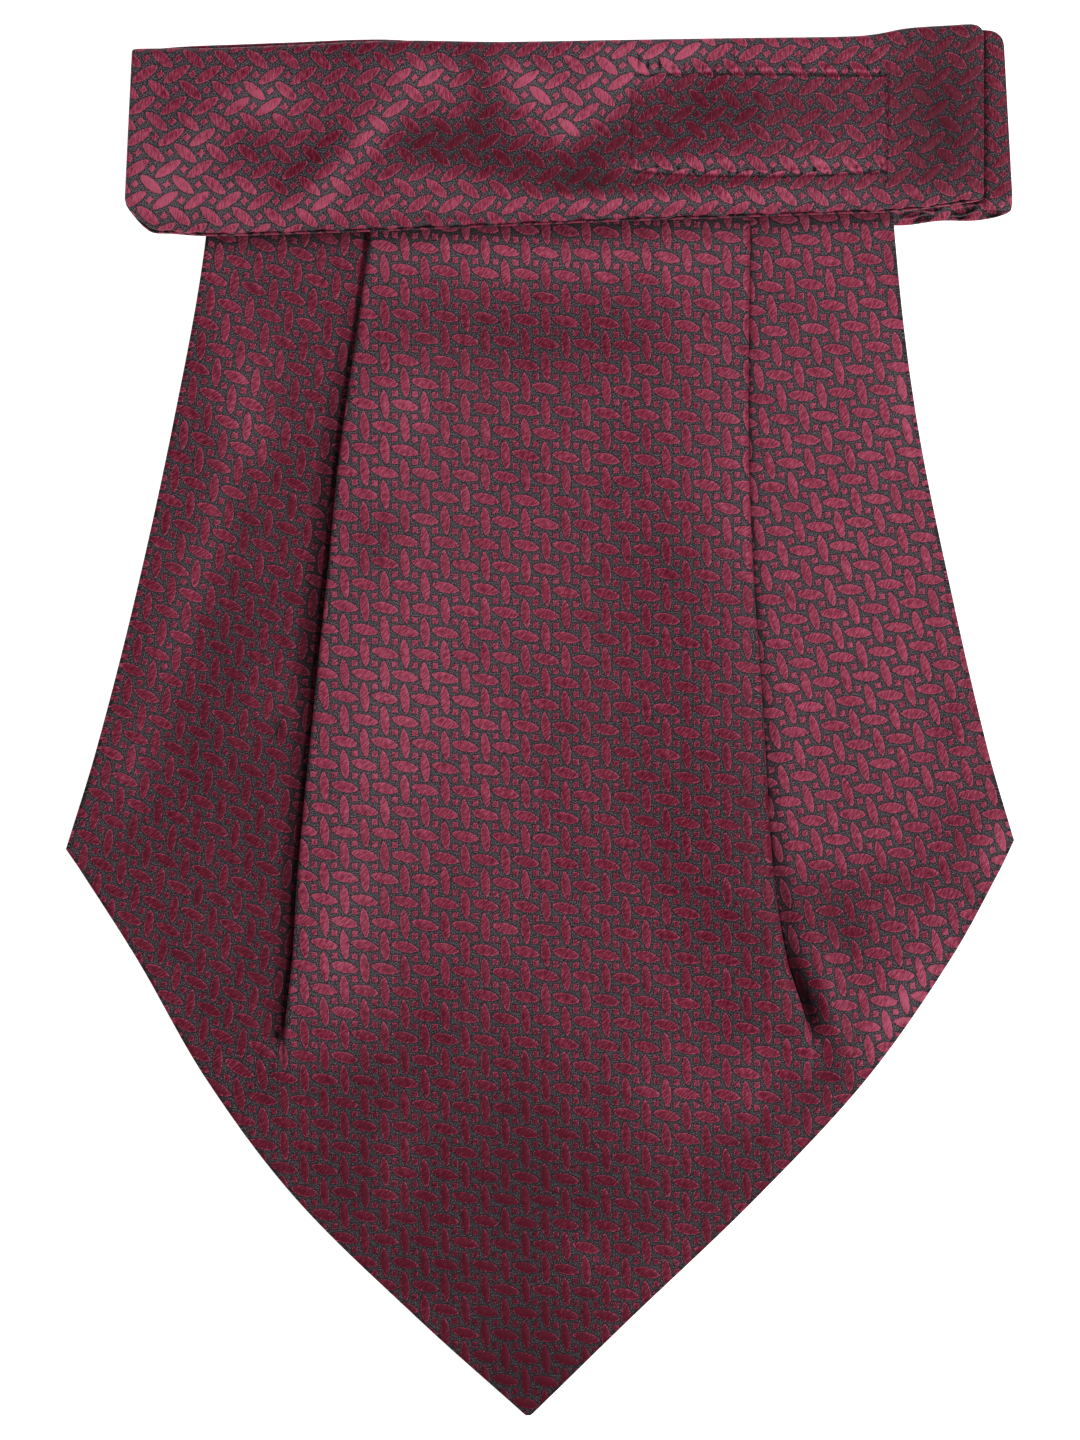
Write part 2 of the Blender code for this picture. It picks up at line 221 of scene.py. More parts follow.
# Creases: soft ridges, or troughs where the height is below 0
CREASE_FADE = 0.3
FOLD_CLEAR = 4.0
HEM_CLEAR = 3.0
BAND_CLEAR = 2.5
BAND_END_CLEAR = 2.0
PANEL_CREASES = {
    "x1": (-20, -30, -2, 26, 14, 30, -8, 4, -18, 20),
    "y1": (78, 20, 74, 80, 40, 10, -20, 20, -40, -60),
    "x2": (-28, -36, -12, 20, 26, 34, -20, 8, -22, 10),
    "y2": (20, -44, 22, 46, -14, -44, -78, -30, -92, -96),
    "reach": (8, 8, 10, 9, 11, 7, 8, 9, 7, 9),
    "height": (0.35, 0.3, -0.3, 0.3, -0.25, 0.2, 0.3, 0.2, -0.25, 0.25),
}
SIDE_CREASES = {
    "x1": (-48, -60, -40, -52, 52, 66, 46, 70, 50, -44.5, 30.9, -66, 58, 43),
    "y1": (76, 40, 66, 10, 70, 30, 20, -8, -30, -0.5, -54, -28, -38, -24),
    "x2": (-60, -72, -46, -60, 56, 74, 50, 60, 62, -40.5, 30.9, -40, 44, 52.5),
    "y2": (30, -8, 14, -40, 20, -10, -24, -34, -44, -3.4, -74, -66, -62, -64),
    "reach": (7, 6, 6, 7, 7, 6, 6, 6, 5, 1.4, 1.2, 5, 3, 3.4),
    "height": (0.35, 0.3, -0.2, 0.25, 0.25, 0.25, -0.2, -0.2, 0.2, 0.3, 0.12, 0.2, -0.2, 0.7),
}
BAND_CREASES = {
    "x1": (-18.6, -6.8, 18.6, -50, -36, -12, 30, 46, -64, 64),
    "y1": (113, 112, 113.5, 110, 97, 104, 112, 102, 108, 110),
    "x2": (-39, 6.8, 6.8, -40, -28, -8, 22, 52, -60, 68),
    "y2": (87, 97, 97, 96, 88, 92, 98, 96, 88, 92),
    "reach": (4.5, 4, 4, 4, 4, 6, 4, 4, 4, 5),
    "height": (0.4, 0.4, 0.35, 0.25, -0.3, -0.3, -0.25, 0.2, -0.2, -0.25),
}
STRETCH_CREASES = {
    "x1": (76, 77.5, -50, 0, 40),
    "y1": (112, 98, 108, 106, 104),
    "x2": (76.6, 77.9, -30, 14, 52),
    "y2": (100, 88, 92, 90, 94),
    "reach": (2, 2, 6, 6, 6),
    "height": (0.08, 0.08, -0.1, -0.1, -0.1),
}

# Painted sheen: soft patches where the satin is painted brighter or darker by how light falls on its
# folds, from -1 to 1
PANEL_PAINTED_SHEEN = {
    "x": (-24, -23.5, -26, -28, -12, -34, -3, 0, 26, 31, 22, 20, 37, 0, -4, -22, 22, 36, 8, -2, -31,
          -40, 22, -3, -18, 36, -30, 36, -17, 6),
    "y": (50, 54, 31, 4, 2, -35, 64.5, 79, 75, 48, 24, -15, -38, -88, -70, -72, -62, -62, -90, -112,
          -80, -67, -92, 28, -53, -12, -61, -72, -94, 81.5),
    "long": (13, 4, 4, 22, 22, 15, 22, 32, 5, 28, 14, 30, 12, 48, 18, 15, 9, 6, 4.5, 12, 12, 4, 14, 18,
             13, 22, 10, 12, 6, 16),
    "wide": (5, 3.5, 4, 10, 12, 6, 6.5, 5, 4.5, 3.5, 12, 19, 6, 34, 8, 4, 9, 3, 4.5, 12, 6, 3, 5, 10, 8,
             3.5, 6, 5, 4, 2),
    "angle": (80, 0, 0, 86, 90, 84, 0, 0, 0, 96, -60, -66, -60, 0, 90, 72, 0, 90, 0, 0, -50, 0, 42, 80,
              60, 97, 60, 50, 0, 0),
    "tone": (0.45, 0.45, -0.4, 0.42, 0.3, 0.5, -0.52, 0.6, 0.7, 0.4, -0.25, -0.42, -0.3, -0.95, -0.3,
             0.25, 0.35, 0.45, 0.5, -0.9, -0.3, 0.2, 0.3, 0.2, -0.3, -0.4, -0.3, -0.3, -0.4, -0.7),
}
SIDE_PAINTED_SHEEN = {
    "x": (-62, 56, -50, -58, -68, -44, -48, 45, 72, 50, 60, 65, 70, 45.5, -46, 48, -67, -53, -50, 60,
          78, -47.5, 61.5, -45),
    "y": (5, 20, 56, 24, -8, 42, -10, 55, -18, -34, -28, -43, 0, -46, 4, -60, 22, 73, -48, -50, -20.5,
          47, 54, -59),
    "long": (95, 75, 10, 22, 9, 6, 30, 7, 9, 9, 12, 7, 8, 7, 6, 8, 42, 10, 14, 8, 5, 6, 9, 5),
    "wide": (38, 28, 5, 3.5, 4, 5, 8, 5, 6, 6, 4, 5, 3, 2.2, 4.5, 4, 4, 5, 7, 3, 3.5, 3, 2.2, 4),
    "angle": (90, 90, 80, 72, 75, 0, 95, 80, 20, -30, 0, 45, 80, -62, 80, 45, 76, 85, 65, 52, 60, 82,
              98, 60),
    "tone": (-0.66, 0.43, 0.68, 0.8, 0.5, -0.2, -0.25, 0, -0.5, -0.9, -0.5, 0.3, -0.3, -1.4, 0.5, -0.7,
             0.35, 0.35, -0.3, 0.95, 0.95, 0.5, 0.6, -0.45),
}
BAND_PAINTED_SHEEN = {
    "x": (-46.5, -58, -64, -48, -40, -19, -28.5, -36, -10, -2, 12, 5, 23, -16, 8, -17, -5, 30, 38, 27,
          47, 27, 49, 35, 68, 68, -20, -5, 4, -67, -50, 14, 42, 6, 50, 20, 20.5, -49, -67.5, 11),
    "y": (104.5, 97, 89, 97, 92.5, 108.5, 98.5, 89, 105, 106, 106.5, 99, 112, 98, 94, 90.5, 86.8, 87.5,
          112, 102.5, 100, 93.6, 93.8, 90.8, 102, 88.5, 113, 93.8, 107, 108, 88, 98.5, 97, 90, 107,
          89.6, 96.5, 83.5, 98.5, 112.5),
    "long": (5.5, 6, 7, 4, 8, 5, 7.5, 5, 6, 8, 8, 3.5, 9, 11, 5, 9, 42, 28, 20, 15, 8, 12, 8, 22, 9, 10,
             22, 10, 7, 4, 8, 5, 12, 8, 12, 9, 4, 9, 3, 5),
    "wide": (4.2, 4.2, 4.5, 4, 2.8, 6, 2.8, 2.8, 2.4, 3.2, 3.4, 3, 2.5, 4.2, 4.5, 2.2, 1.7, 1.6, 2, 6.5,
             5, 1.1, 1, 0.9, 16, 1.8, 2.4, 3.2, 5, 4, 3, 4, 3, 2, 6, 1.6, 3, 1.8, 6, 2),
    "angle": (0, 45, 0, 0, 45, 50, 50, 50, 90, -52, 50, 0, 20, 8, 0, 0, 1, 1, 2, 0, 0, 1, 1, 0, 0, 2, 0,
              0, 0, 0, 0, 0, 0, 0, 0, 0, 0, 0, 0, 10),
    "tone": (1.25, 0.9, 1.4, -0.4, -0.9, 0.95, 1.2, 1, -0.6, 1.05, 1.1, 0.8, 1.1, -0.95, -0.95, 0.65,
             0.55, 0.5, 0.4, -0.9, -0.2, 0.9, 0.8, -0.6, -1.2, 0.5, -0.6, -1, 0.5, 0.4, 0.7, -0.5, 0.1,
             -0.8, -0.3, -0.5, -0.45, 0.8, 0.75, 0.7),
}
# The folded stretches' satin is painted darker, with a painted highlight on the edge that each one
# shows
STRETCH_PAINTED_SHEEN = -0.4
LAYER_SHINE = 0.9

# Shade in places too narrow for light: how deep it is, and how far it reaches
HEM_SHADE = 0.2
HEM_REACH = (0.05, 0.6)
BAND_SHADE = {"reach": 3.4, "depth": 0.6}
FOLD_SHADE = {
    "y": (108.0, 82.0, 74.0, 60.0, 5.0, -50.0),
    "left": (0.0, 0.0, 0.1, 0.7, 0.95, 0.9),
    "right": (0.7, 0.7, 0.75, 0.8, 0.9, 0.95),
}
FOLD_SHADE_REACH = {"left": 0.8, "right": 0.65}
PLEAT_SHADE = {
    "y": (108.0, 82.0, 72.0, 60.0, 45.0, 10.0, 0.0, -25.0, -50.0),
    "left": (0.0, 0.0, 0.08, 0.45, 0.62, 0.74, 0.6, 0.6, 0.58),
    "left_reach": (3.5, 3.5, 3.5, 3.8, 4.4, 4.8, 3.8, 3.8, 3.4),
    "right": (0.2, 0.15, 0.15, 0.15, 0.18, 0.25, 0.3, 0.4, 0.4),
    "right_reach": (2.0, 2.0, 2.0, 2.0, 2.0, 2.2, 2.6, 3.4, 3.4),
}
PLEAT_SHADE_FULL = 0.45
PLEAT_SHADE_END = (-55.5, -52.5)
FOLD_SHINE = {"left": 0.5, "right": 0.5}
FOLD_SHINE_REACH = {"left": 2.4, "right": 0.9}
SHADE_PATCHES = {
    "x": (45.4, 43.4, -43.6, -41.2, -44.3, 41.6, 60),
    "y": (-48.5, -42, -1.4, -2.8, -53.2, -31, -15),
    "long": (6.5, 5, 1.5, 1, 1, 9, 55),
    "wide": (1.7, 0.9, 0.4, 0.35, 0.4, 0.9, 20),
    "angle": (-64, -72, 80, 20, 80, 99, 90),
    "depth": (0.48, 0.26, 0.6, 0.5, 0.7, 0.2, 0.07),
}
CREVICE_SHADE = 0.9
CREVICE_REACH = 0.12
FOOT_DEPTH = 1.3
FOOT_SHINE = 0.9
UNDER_REACH = 0.2
LAYER_SHOWN = 0.9
LAYER_EDGE = 0.15
LAYER_GAP = {"middle": 0.34, "wave": 0.3, "length": (6.3, 8.7, 7.1)}
BESIDE_END = {"x": 74.9, "reach": 0.8, "depth": 0.8}
# Painted shade in the opening between the two lower layers near the right end
OPENING = {
    "x": (76.9,),
    "y": (85.15,),
    "long": (1.7,),
    "wide": (0.4,),
    "angle": (8,),
    "depth": (1,),
}
END_SHADE = {"from": 56.0, "to": 63.0, "depth": 0.05}
SEWN_SHADE = 0.85
SEWN_FULL = 0.24

# Sewing that shows through the band as a rectangle
BOX_LINES = {
    "top": ((15.7, 108.5), (36.0, 108.7), (58.2, 108.5)),
    "foot": ((15.7, 92.2), (27.0, 91.5), (39.7, 91.4), (49.0, 91.7), (58.2, 92.3)),
    "left": ((15.2, 106.3), (15.1, 99.0), (15.2, 92.8)),
    "right": ((58.3, 110.4), (58.5, 100.0), (58.3, 90.4)),
}
GROOVE_REACH = {"top": 0.3, "foot": 0.3, "left": 0.4, "right": 0.4}
GROOVE_DEPTH = {"top": 0.17, "foot": 0.19, "left": 0.1, "right": 0.17}
RIDGE_AWAY = {"top": 0.75, "foot": 0.7}
RIDGE_REACH = 0.6
RIDGE_HEIGHT = 0.16
LINE_FADE = 0.4
PUCKER_SPACING = {"top": 1.9, "foot": 1.7}
PUCKER_LENGTH = 0.75
PUCKER_REACH = 0.4
PUCKER_DEPTH = 0.26
PUCKER_SHIFT = {"size": 0.35, "pace": 5}
PUCKER_UNEVEN = {"size": 0.4, "pace": 3, "start": 1}
LONG_PUCKERS = {"from": 27.0, "to": 17.0, "more": 1.6}
SEWN_SHINE = 1.1
STITCH_SPACING = 1.9
STITCH_LENGTH = 1.1
STITCH_RADIUS = 0.11
STITCH_SIDES = 8
STITCH_RINGS = 6
STITCH_TURN = {"size": 0.12, "pace": 4}
RAY_HEIGHT = 100.0

# Silk colours, in linear light
FLOAT_RAMP = (
    (0.0, (0.088, 0.0045, 0.0145)),
    (0.3, (0.152, 0.012, 0.03)),
    (0.6, (0.28, 0.035, 0.073)),
    (1.0, (0.52, 0.1, 0.17)),
)
GROUND_RAMP = (
    (0.3, (0.01, 0.008, 0.01)),
    (0.52, (0.0405, 0.029, 0.036)),
    (0.7, (0.22, 0.2, 0.22)),
)
SHADE_COLOUR = (0.003, 0.0015, 0.0025, 1.0)
GROUND_SHADE_POWER = 1.7
SATIN_SHADE_POWER = 1.4

# Silk threads: how fine each noise is, and how far it changes the colour, the edges and the relief
THREADS = {"fine_x": 4.5, "fine_y": 22.0, "detail": 2.0}
SPECKS = {"fine_x": 24.0, "fine_y": 30.0, "detail": 1.0}
CLOUDS = {"fine_x": 0.45, "fine_y": 0.45, "detail": 2.0}
GRAIN = {"fine_x": 8.0, "fine_y": 5.5, "detail": 1.0}
# How far the painted sheen, the noises and the rim stitches change the satin's tone
SATIN_TONE = {"painted_sheen": 0.43, "middle": 0.47, "threads": 1.35, "own": 0.1, "clouds": 0.15, "rim": 0.7}
# How far the painted sheen changes the ground, and how deep the painted shade on the ground beside the
# raised satin is
GROUND_TONE = {"painted_sheen": 0.05, "beside": -0.1}
RAGGED = 0.5
FLOAT_EDGE = (-0.06, 0.1)
TALL_REACH = -0.3
RIM_RISE = (-0.1, 0.05)
RIM_FALL = (0.1, 0.4)
RIM_SPECKS = (0.46, 0.62)
# Where the painted shade on the ground beside the satin figures begins and ends
SHADE_BESIDE_FIGURE = (-0.5, -0.05)
GROUND_ROUGHNESS = 0.62
SATIN_SMOOTHER = -0.2
THREAD_HEIGHT = 0.25
GRAIN_HEIGHT = 0.3
WEAVE_BUMP = {"strength": 0.8, "height": 0.12 * MM}
SILK_GLOSS = {
    "Specular IOR Level": 0.12,
    "Specular Tint": (1.0, 0.65, 0.75, 1.0),
    "Sheen Weight": 0.04,
    "Sheen Roughness": 0.4,
    "Sheen Tint": (1.0, 0.75, 0.82, 1.0),
}

# Sewing thread
TWIST_SCALE = 2600.0
TWIST_RAMP = (
    (0.0, (0.1, 0.01, 0.03)),
    (1.0, (0.34, 0.06, 0.12)),
)
TWIST_BUMP = {"strength": 1.0, "height": 0.02 * MM}
THREAD_GLOSS = {"Roughness": 0.5, "Specular IOR Level": 0.3}

# Floor, lamps and camera, in metres and watts, with the lens and the sensor in millimetres
FLOOR_REACH = 3.0
FLOOR_SPECKLE = 60.0
FLOOR_RAMP = (
    (0.0, (0.86, 0.86, 0.86)),
    (1.0, (0.9, 0.9, 0.9)),
)
FLOOR_LOOK = {
    "Roughness": 0.9,
    "Specular IOR Level": 0.0,
    "Emission Color": (1.0, 1.0, 1.0, 1.0),
    "Emission Strength": 0.95,
}
SKY = {"Color": (1.0, 1.0, 1.0, 1.0), "Strength": 0.23}
LAMPS = {
    "name": ("key", "fill"),
    "place": ((0.5, 0.08, 0.95), (-0.6, -0.4, 1.2)),
    "size": (0.2, 0.9),
    "power": (7.5, 1.0),
}
CAMERA_HEIGHT = 3.0
CAMERA_LENS = 444.3
CAMERA_NEAR = 0.01
SENSOR = 36.0


def ease(start, end, at):
    """0 at start and 1 at end, with a soft beginning and a soft end."""
    part = np.clip((at - start) / (end - start), 0.0, 1.0)
    return part * part * (3 - 2 * part)


def mix(first, second, part):
    return first + (second - first) * part


def between(start, end, reach, at):
    """1 between start and end, falling softly to 0 over the reach inside each of them."""
    return ease(0, reach, at - start) * ease(0, reach, end - at)


def find_span(keys, at):
    """Index of the pair of rows around a value, and how far between them it lies."""
    rising = keys[-1] > keys[0]
    for i in range(len(keys) - 1):
        inside = at <= keys[i + 1] if rising else at >= keys[i + 1]
        if inside:
            break
    return i, min(1.0, max(0.0, (at - keys[i]) / (keys[i + 1] - keys[i])))


def on_lines(table, key, column, at):
    """A column's value on straight lines between the table's rows."""
    i, part = find_span(table[key], at)
    return mix(table[column][i], table[column][i + 1], part)


def on_curve(table, key, column, at):
    """A column's value on one smooth curve through the table's rows."""
    keys = table[key]
    values = table[column]
    i, part = find_span(keys, at)
    span = keys[i + 1] - keys[i]
    slopes = []
    for row in (i, i + 1):
        before = max(row - 1, 0)
        after = min(row + 1, len(keys) - 1)
        slopes.append((values[after] - values[before]) / (keys[after] - keys[before]))
    leaving = part * (1 - part) ** 2 * span * slopes[0]
    arriving = part ** 2 * (1 - part) * span * slopes[1]
    eased = part * part * (3 - 2 * part)
    return mix(values[i], values[i + 1], eased) + leaving - arriving


def table_rows(table):
    """The rows of a table with named columns, as one dictionary each."""
    columns = list(table)
    return [dict(zip(columns, values)) for values in zip(*(table[column] for column in columns))]


def crease_height(table, x, y):
    """Height that a table's soft creases add at each point."""
    total = np.zeros_like(x)
    for row in table_rows(table):
        run_x = row["x2"] - row["x1"]
        run_y = row["y2"] - row["y1"]
        along = ((x - row["x1"]) * run_x + (y - row["y1"]) * run_y) / (run_x ** 2 + run_y ** 2)
        nearest = np.clip(along, 0, 1)
        away = np.hypot(x - row["x1"] - nearest * run_x, y - row["y1"] - nearest * run_y)
        fade = between(0, 1, CREASE_FADE, along)
        total += row["height"] * fade * ease(row["reach"], 0, away)
    return total


def patch_sum(table, column, x, y):
    """What the soft patches of a table add up to at each point."""
    total = np.zeros_like(x)
    for row in table_rows(table):
        angle = math.radians(row["angle"])
        along = (x - row["x"]) * math.cos(angle) + (y - row["y"]) * math.sin(angle)
        across = (y - row["y"]) * math.cos(angle) - (x - row["x"]) * math.sin(angle)
        total += row[column] * np.exp(-(along / row["long"]) ** 2 - (across / row["wide"]) ** 2)
    return total


def blade_edges(y):
    """X of the left and the right edge of the front blade."""
    left = LEFT_EDGE if y > LEFT_EDGE["y"][-1] else LEFT_POINT
    right = RIGHT_EDGE if y > RIGHT_EDGE["y"][-1] else RIGHT_POINT
    return on_curve(left, "y", "x", y), on_curve(right, "y", "x", y)


def rim_width(y):
    """How far the wall's rounded end reaches past its last point."""
    left, right = blade_edges(y)
    return min(FACE, RIM_SHARE * (right - left))


def blade_rows():
    """Y of each row of the front blade, from under the neckband to the tip."""
    count = round((BLADE_TOP - BLADE_TIP) / ROW_SPACING)
    rows = {round(mix(BLADE_TOP, BLADE_TIP, i / count), 3) for i in range(count + 1)}
    return sorted(rows | set(CORNER_ROWS), reverse=True)


def section_of(*columns):
    """Points across one row, with the columns named above."""
    return np.stack(np.broadcast_arrays(*columns), 1)


def front_height(y):
    """Height of the front blade's lowest layer, which climbs onto the folded neckband."""
    on_rear = WALL + GAP + FACE
    on_band = STRETCHES * WALL + GAP + FACE
    return mix(on_rear, on_band, ease(CLIMB_FOOT, CLIMB_TOP, y))


def pleat_depth(y, side):
    """How far a pleat runs back under the centre panel."""
    return PLEAT_DEPTH[side] * float(np.clip((y - PLEAT_SHUT) / (PLEAT_TOP - PLEAT_SHUT), 0, 1))


def fold_line(y, side):
    """X of the line where a pleat's fold shows."""
    return on_curve(PLEAT_FOLD, "y", side, max(y, PLEAT_FLAT))


def pleat_section(y, side):
    """Middle of the wall across one pleat, from the side panel up to the centre panel.

    Each point is its place across the pleat, its height, the cloth's direction and the way
    along the cloth.
    """
    left, right = blade_edges(y)
    turn = math.pi * (1 - ease(PLEAT_SHUT, PLEAT_FLAT, y))
    arc = max(FOLD_RADIUS * turn, min(OPEN_ARC, OPEN_ARC_SHARE * (right - left)))
    step = turn / ARC_STEPS
    chord = arc / ARC_STEPS * (math.sin(step / 2) / (step / 2) if step > 0 else 1)
    run = max(pleat_depth(y, side), chord)
    bends = [step * i for i in range(ARC_STEPS + 1)]
    lengths = [chord] * ARC_STEPS + [run / RUN_STEPS] * RUN_STEPS + [chord] * ARC_STEPS
    directions = bends + [turn] * (RUN_STEPS - 1) + bends[::-1]
    x = 0.0
    z = 0.0
    way = 0.0
    points = [(x, z, directions[0], way)]
    for i, length in enumerate(lengths):
        middle = (directions[i] + directions[i + 1]) / 2
        x += length * math.cos(middle)
        z += length * math.sin(middle)
        way += length
        points.append((x, z, directions[i + 1], way))
    return np.array([(px - x / 2, pz, direction, at) for px, pz, direction, at in points])


def pleat_middle(y, side):
    """X of the middle of a pleat, whose outer fold lies on the line that shows."""
    row = max(y, PLEAT_FLAT)
    reach = pleat_depth(row, side) / 2 + FOLD_REACH * ease(PLEAT_END, PLEAT_SHUT, row)
    middle = fold_line(y, side) + MIRROR[side] * reach
    if y >= PLEAT_FLAT:
        return middle
    end_left, end_right = blade_edges(PLEAT_FLAT)
    left, right = blade_edges(y)
    return mix(left, right, (middle - end_left) / (end_right - end_left))


def unfold(x, y, side):
    """Where the points of one row of a side panel are when its pleat is laid open."""
    pivot_x, pivot_y = PLEAT_PIVOT[side]
    along = y - pivot_y
    if along > 0:
        step = along / TURN_STEPS
        turns = [on_curve(PLEAT_TURN, "y", side, pivot_y + step * (i + 0.5)) for i in range(TURN_STEPS)]
        turns = np.radians(turns)
        across = x - pivot_x - step * np.tan(turns).sum()
        rise = step * (1 / np.cos(turns)).sum() + PLEAT_SLIP[side] * ease(0, SLIP_REACH, along)
        flat_x = pivot_x + across * math.cos(turns[-1])
        flat_y = pivot_y + rise + across * math.sin(turns[-1])
        return flat_x, flat_y
    outward = pivot_x - x if side == "left" else x - pivot_x
    angle = np.arctan2(outward, -along)
    turn = math.radians(PLEAT_TURN[side][-1]) * ease(*TURN_FADE, angle)
    across = x - pivot_x
    flat_x = pivot_x + across * np.cos(turn) - along * np.sin(turn)
    flat_y = pivot_y + across * np.sin(turn) + along * np.cos(turn)
    return flat_x, flat_y


def side_places(start, fold, pleat_start):
    """X of the points of a side panel, close together at its edge and where the pleat hides it."""
    open_limits = mix(start, pleat_start, 0.5), mix(start, pleat_start, 1 - HIDDEN_SHARE)
    hidden_from = float(np.clip(fold + FOLD_INSIDE, *open_limits))
    shares = (1 - np.cos(np.pi * np.arange(OPEN_STEPS) / OPEN_STEPS)) / 2
    hidden = np.linspace(hidden_from, pleat_start, HIDDEN_STEPS, endpoint=False)
    return np.concatenate([mix(start, hidden_from, shares), hidden])


def half_section(y, side):
    """One side panel and its pleat, from the edge inwards, with X growing inwards."""
    mirror = MIRROR[side]
    left, right = blade_edges(y)
    start = mirror * (left if side == "left" else right) + rim_width(y)
    pleat_x, pleat_z, pleat_turn, way = pleat_section(y, side).T
    pleat_x = pleat_x + mirror * pleat_middle(y, side)
    side_x = side_places(start, mirror * fold_line(y, side), pleat_x[0])
    low_x = np.concatenate([side_x, pleat_x[0] + way[:ARC_STEPS + 1]])
    cloth_x, cloth_y = unfold(mirror * low_x, y, side)
    high_x = mirror * (pleat_x[-1] - (way[-1] - way[ARC_STEPS + RUN_STEPS:]))
    run = np.linspace(0, 1, RUN_STEPS + 1)[1:-1]
    cloth_x = np.concatenate([cloth_x, mix(cloth_x[-1], high_x[0], run), high_x])
    cloth_y = np.concatenate([cloth_y, mix(cloth_y[-1], y, run), np.full(len(high_x), y)])
    x = np.concatenate([side_x, pleat_x])
    heights = front_height(y) + np.concatenate([np.zeros(SIDE_STEPS), pleat_z])
    directions = np.concatenate([np.zeros(SIDE_STEPS), pleat_turn])
    return section_of(x, heights, directions, cloth_x, cloth_y, np.arange(len(x)) < SIDE_STEPS)


def centre_section(y, start, end, height):
    """The centre panel between the two pleats, sunk between the hidden folds."""
    reach = min(FOLD_REACH, SAG_MARGIN_SHARE * (end - start))
    x = np.linspace(start + reach, end - reach, CENTRE_STEPS + 1)
    sunk = on_curve(PANEL_SAG, "y", "share", y) * between(x[0], x[-1], SAG_SLOPE, x)
    return section_of(x, mix(height, front_height(y), sunk), 0.0, x, y, 0.0)


def front_section(y):
    """Middle of the front blade's wall along one row."""
    left = half_section(y, "left")
    right = half_section(y, "right")
    start = max(left[SIDE_STEPS, X], left[-1, X])
    end = -max(right[SIDE_STEPS, X], right[-1, X])
    centre = centre_section(y, start, end, left[-1, HEIGHT])
    right[:, X] *= -1
    right[:, DIRECTION] *= -1
    return np.concatenate([left, centre, right[::-1]])


def joined_share(y):
    """0 where the pleats part the panels, and 1 where they are one flat cloth below."""
    return float(ease(PLEAT_END, PLEAT_FLAT, y))


def raise_creases(section, y):
    """Raises one row's creases, which stay clear of the folds and the hems."""
    x = section[:, X]
    level = np.full(len(x), y)
    on_side = section[:, ON_SIDE] > 0
    joined = joined_share(y)
    first = SIDE_STEPS + 2 * ARC_STEPS + RUN_STEPS
    on_panel = np.zeros(len(x), bool)
    on_panel[first:len(x) - first] = True
    inside = between(x[first], x[-first - 1], FOLD_CLEAR, x) * on_panel
    outside = np.where(x < 0, x[SIDE_STEPS] - x, x - x[-SIDE_STEPS - 1])
    beside = ease(0, FOLD_CLEAR, outside) * on_side
    side = np.maximum(beside, joined) * np.where(on_side, 1.0, joined)
    panel = np.maximum(inside, joined) * np.where(on_panel, 1.0, joined)
    heights = side * crease_height(SIDE_CREASES, x, level)
    heights += panel * crease_height(PANEL_CREASES, x, level)
    section[:, HEIGHT] += heights * between(x[0], x[-1], HEM_CLEAR, x)


def outside_fold(x, y, side):
    """How far each point lies outside a pleat's fold, below 0 on the panel's side of it."""
    return MIRROR[side] * (fold_line(y, side) - x)


def blade_painted_sheen(section, y):
    """The painted sheen along one row: soft patches of satin painted brighter or darker, and a painted
    highlight on the crown of the pleats' folds.
    """
    x = section[:, X]
    level = np.full(len(x), y)
    on_side = section[:, ON_SIDE] > 0
    joined = joined_share(y)
    painted_sheen = np.where(on_side, 1.0, joined) * patch_sum(SIDE_PAINTED_SHEEN, "tone", x, level)
    painted_sheen += np.where(on_side, joined, 1.0) * patch_sum(PANEL_PAINTED_SHEEN, "tone", x, level)
    for side in MIRROR:
        shine = FOLD_SHINE[side] * ease(FOLD_SHINE_REACH[side], 0, -outside_fold(x, y, side))
        painted_sheen += shine * ~on_side * (1 - joined)
    return painted_sheen


def blade_shade(section, y):
    """The shade along one row: at the hems, beside the pleats' folds and below the neckband."""
    x = section[:, X]
    on_side = section[:, ON_SIDE] > 0
    shade = HEM_SHADE * (1 - ease(*HEM_REACH, np.minimum(x - x[0], x[-1] - x)))
    for side, mirror in MIRROR.items():
        away = outside_fold(x, y, side)
        beside_fold = on_side * (mirror * x < 0) * ease(*PLEAT_SHADE_END, y)
        narrow = on_lines(FOLD_SHADE, "y", side, y) * ease(FOLD_SHADE_REACH[side], 0, away)
        reach = on_lines(PLEAT_SHADE, "y", side + "_reach", y)
        wide = on_lines(PLEAT_SHADE, "y", side, y) * ease(reach, PLEAT_SHADE_FULL * reach, away)
        shade = np.maximum(shade, np.maximum(narrow, wide) * beside_fold)
    shade += on_side * patch_sum(SHADE_PATCHES, "depth", x, np.full(len(x), y))
    below_band = np.interp(x, BAND_SECTIONS["foot_x"], BAND_SECTIONS["foot_y"]) - y
    shade = np.maximum(shade, BAND_SHADE["depth"] * ease(BAND_SHADE["reach"], 0, below_band))
    return np.clip(shade, 0, 1)


def round_end(x, y, z, reach, half):
    """Points around an end of the wall, from its upper face down, or up if both sizes are below 0."""
    return [(x + reach * math.sin(a), y, z + half * math.cos(a)) for a in ROUND_ANGLES]


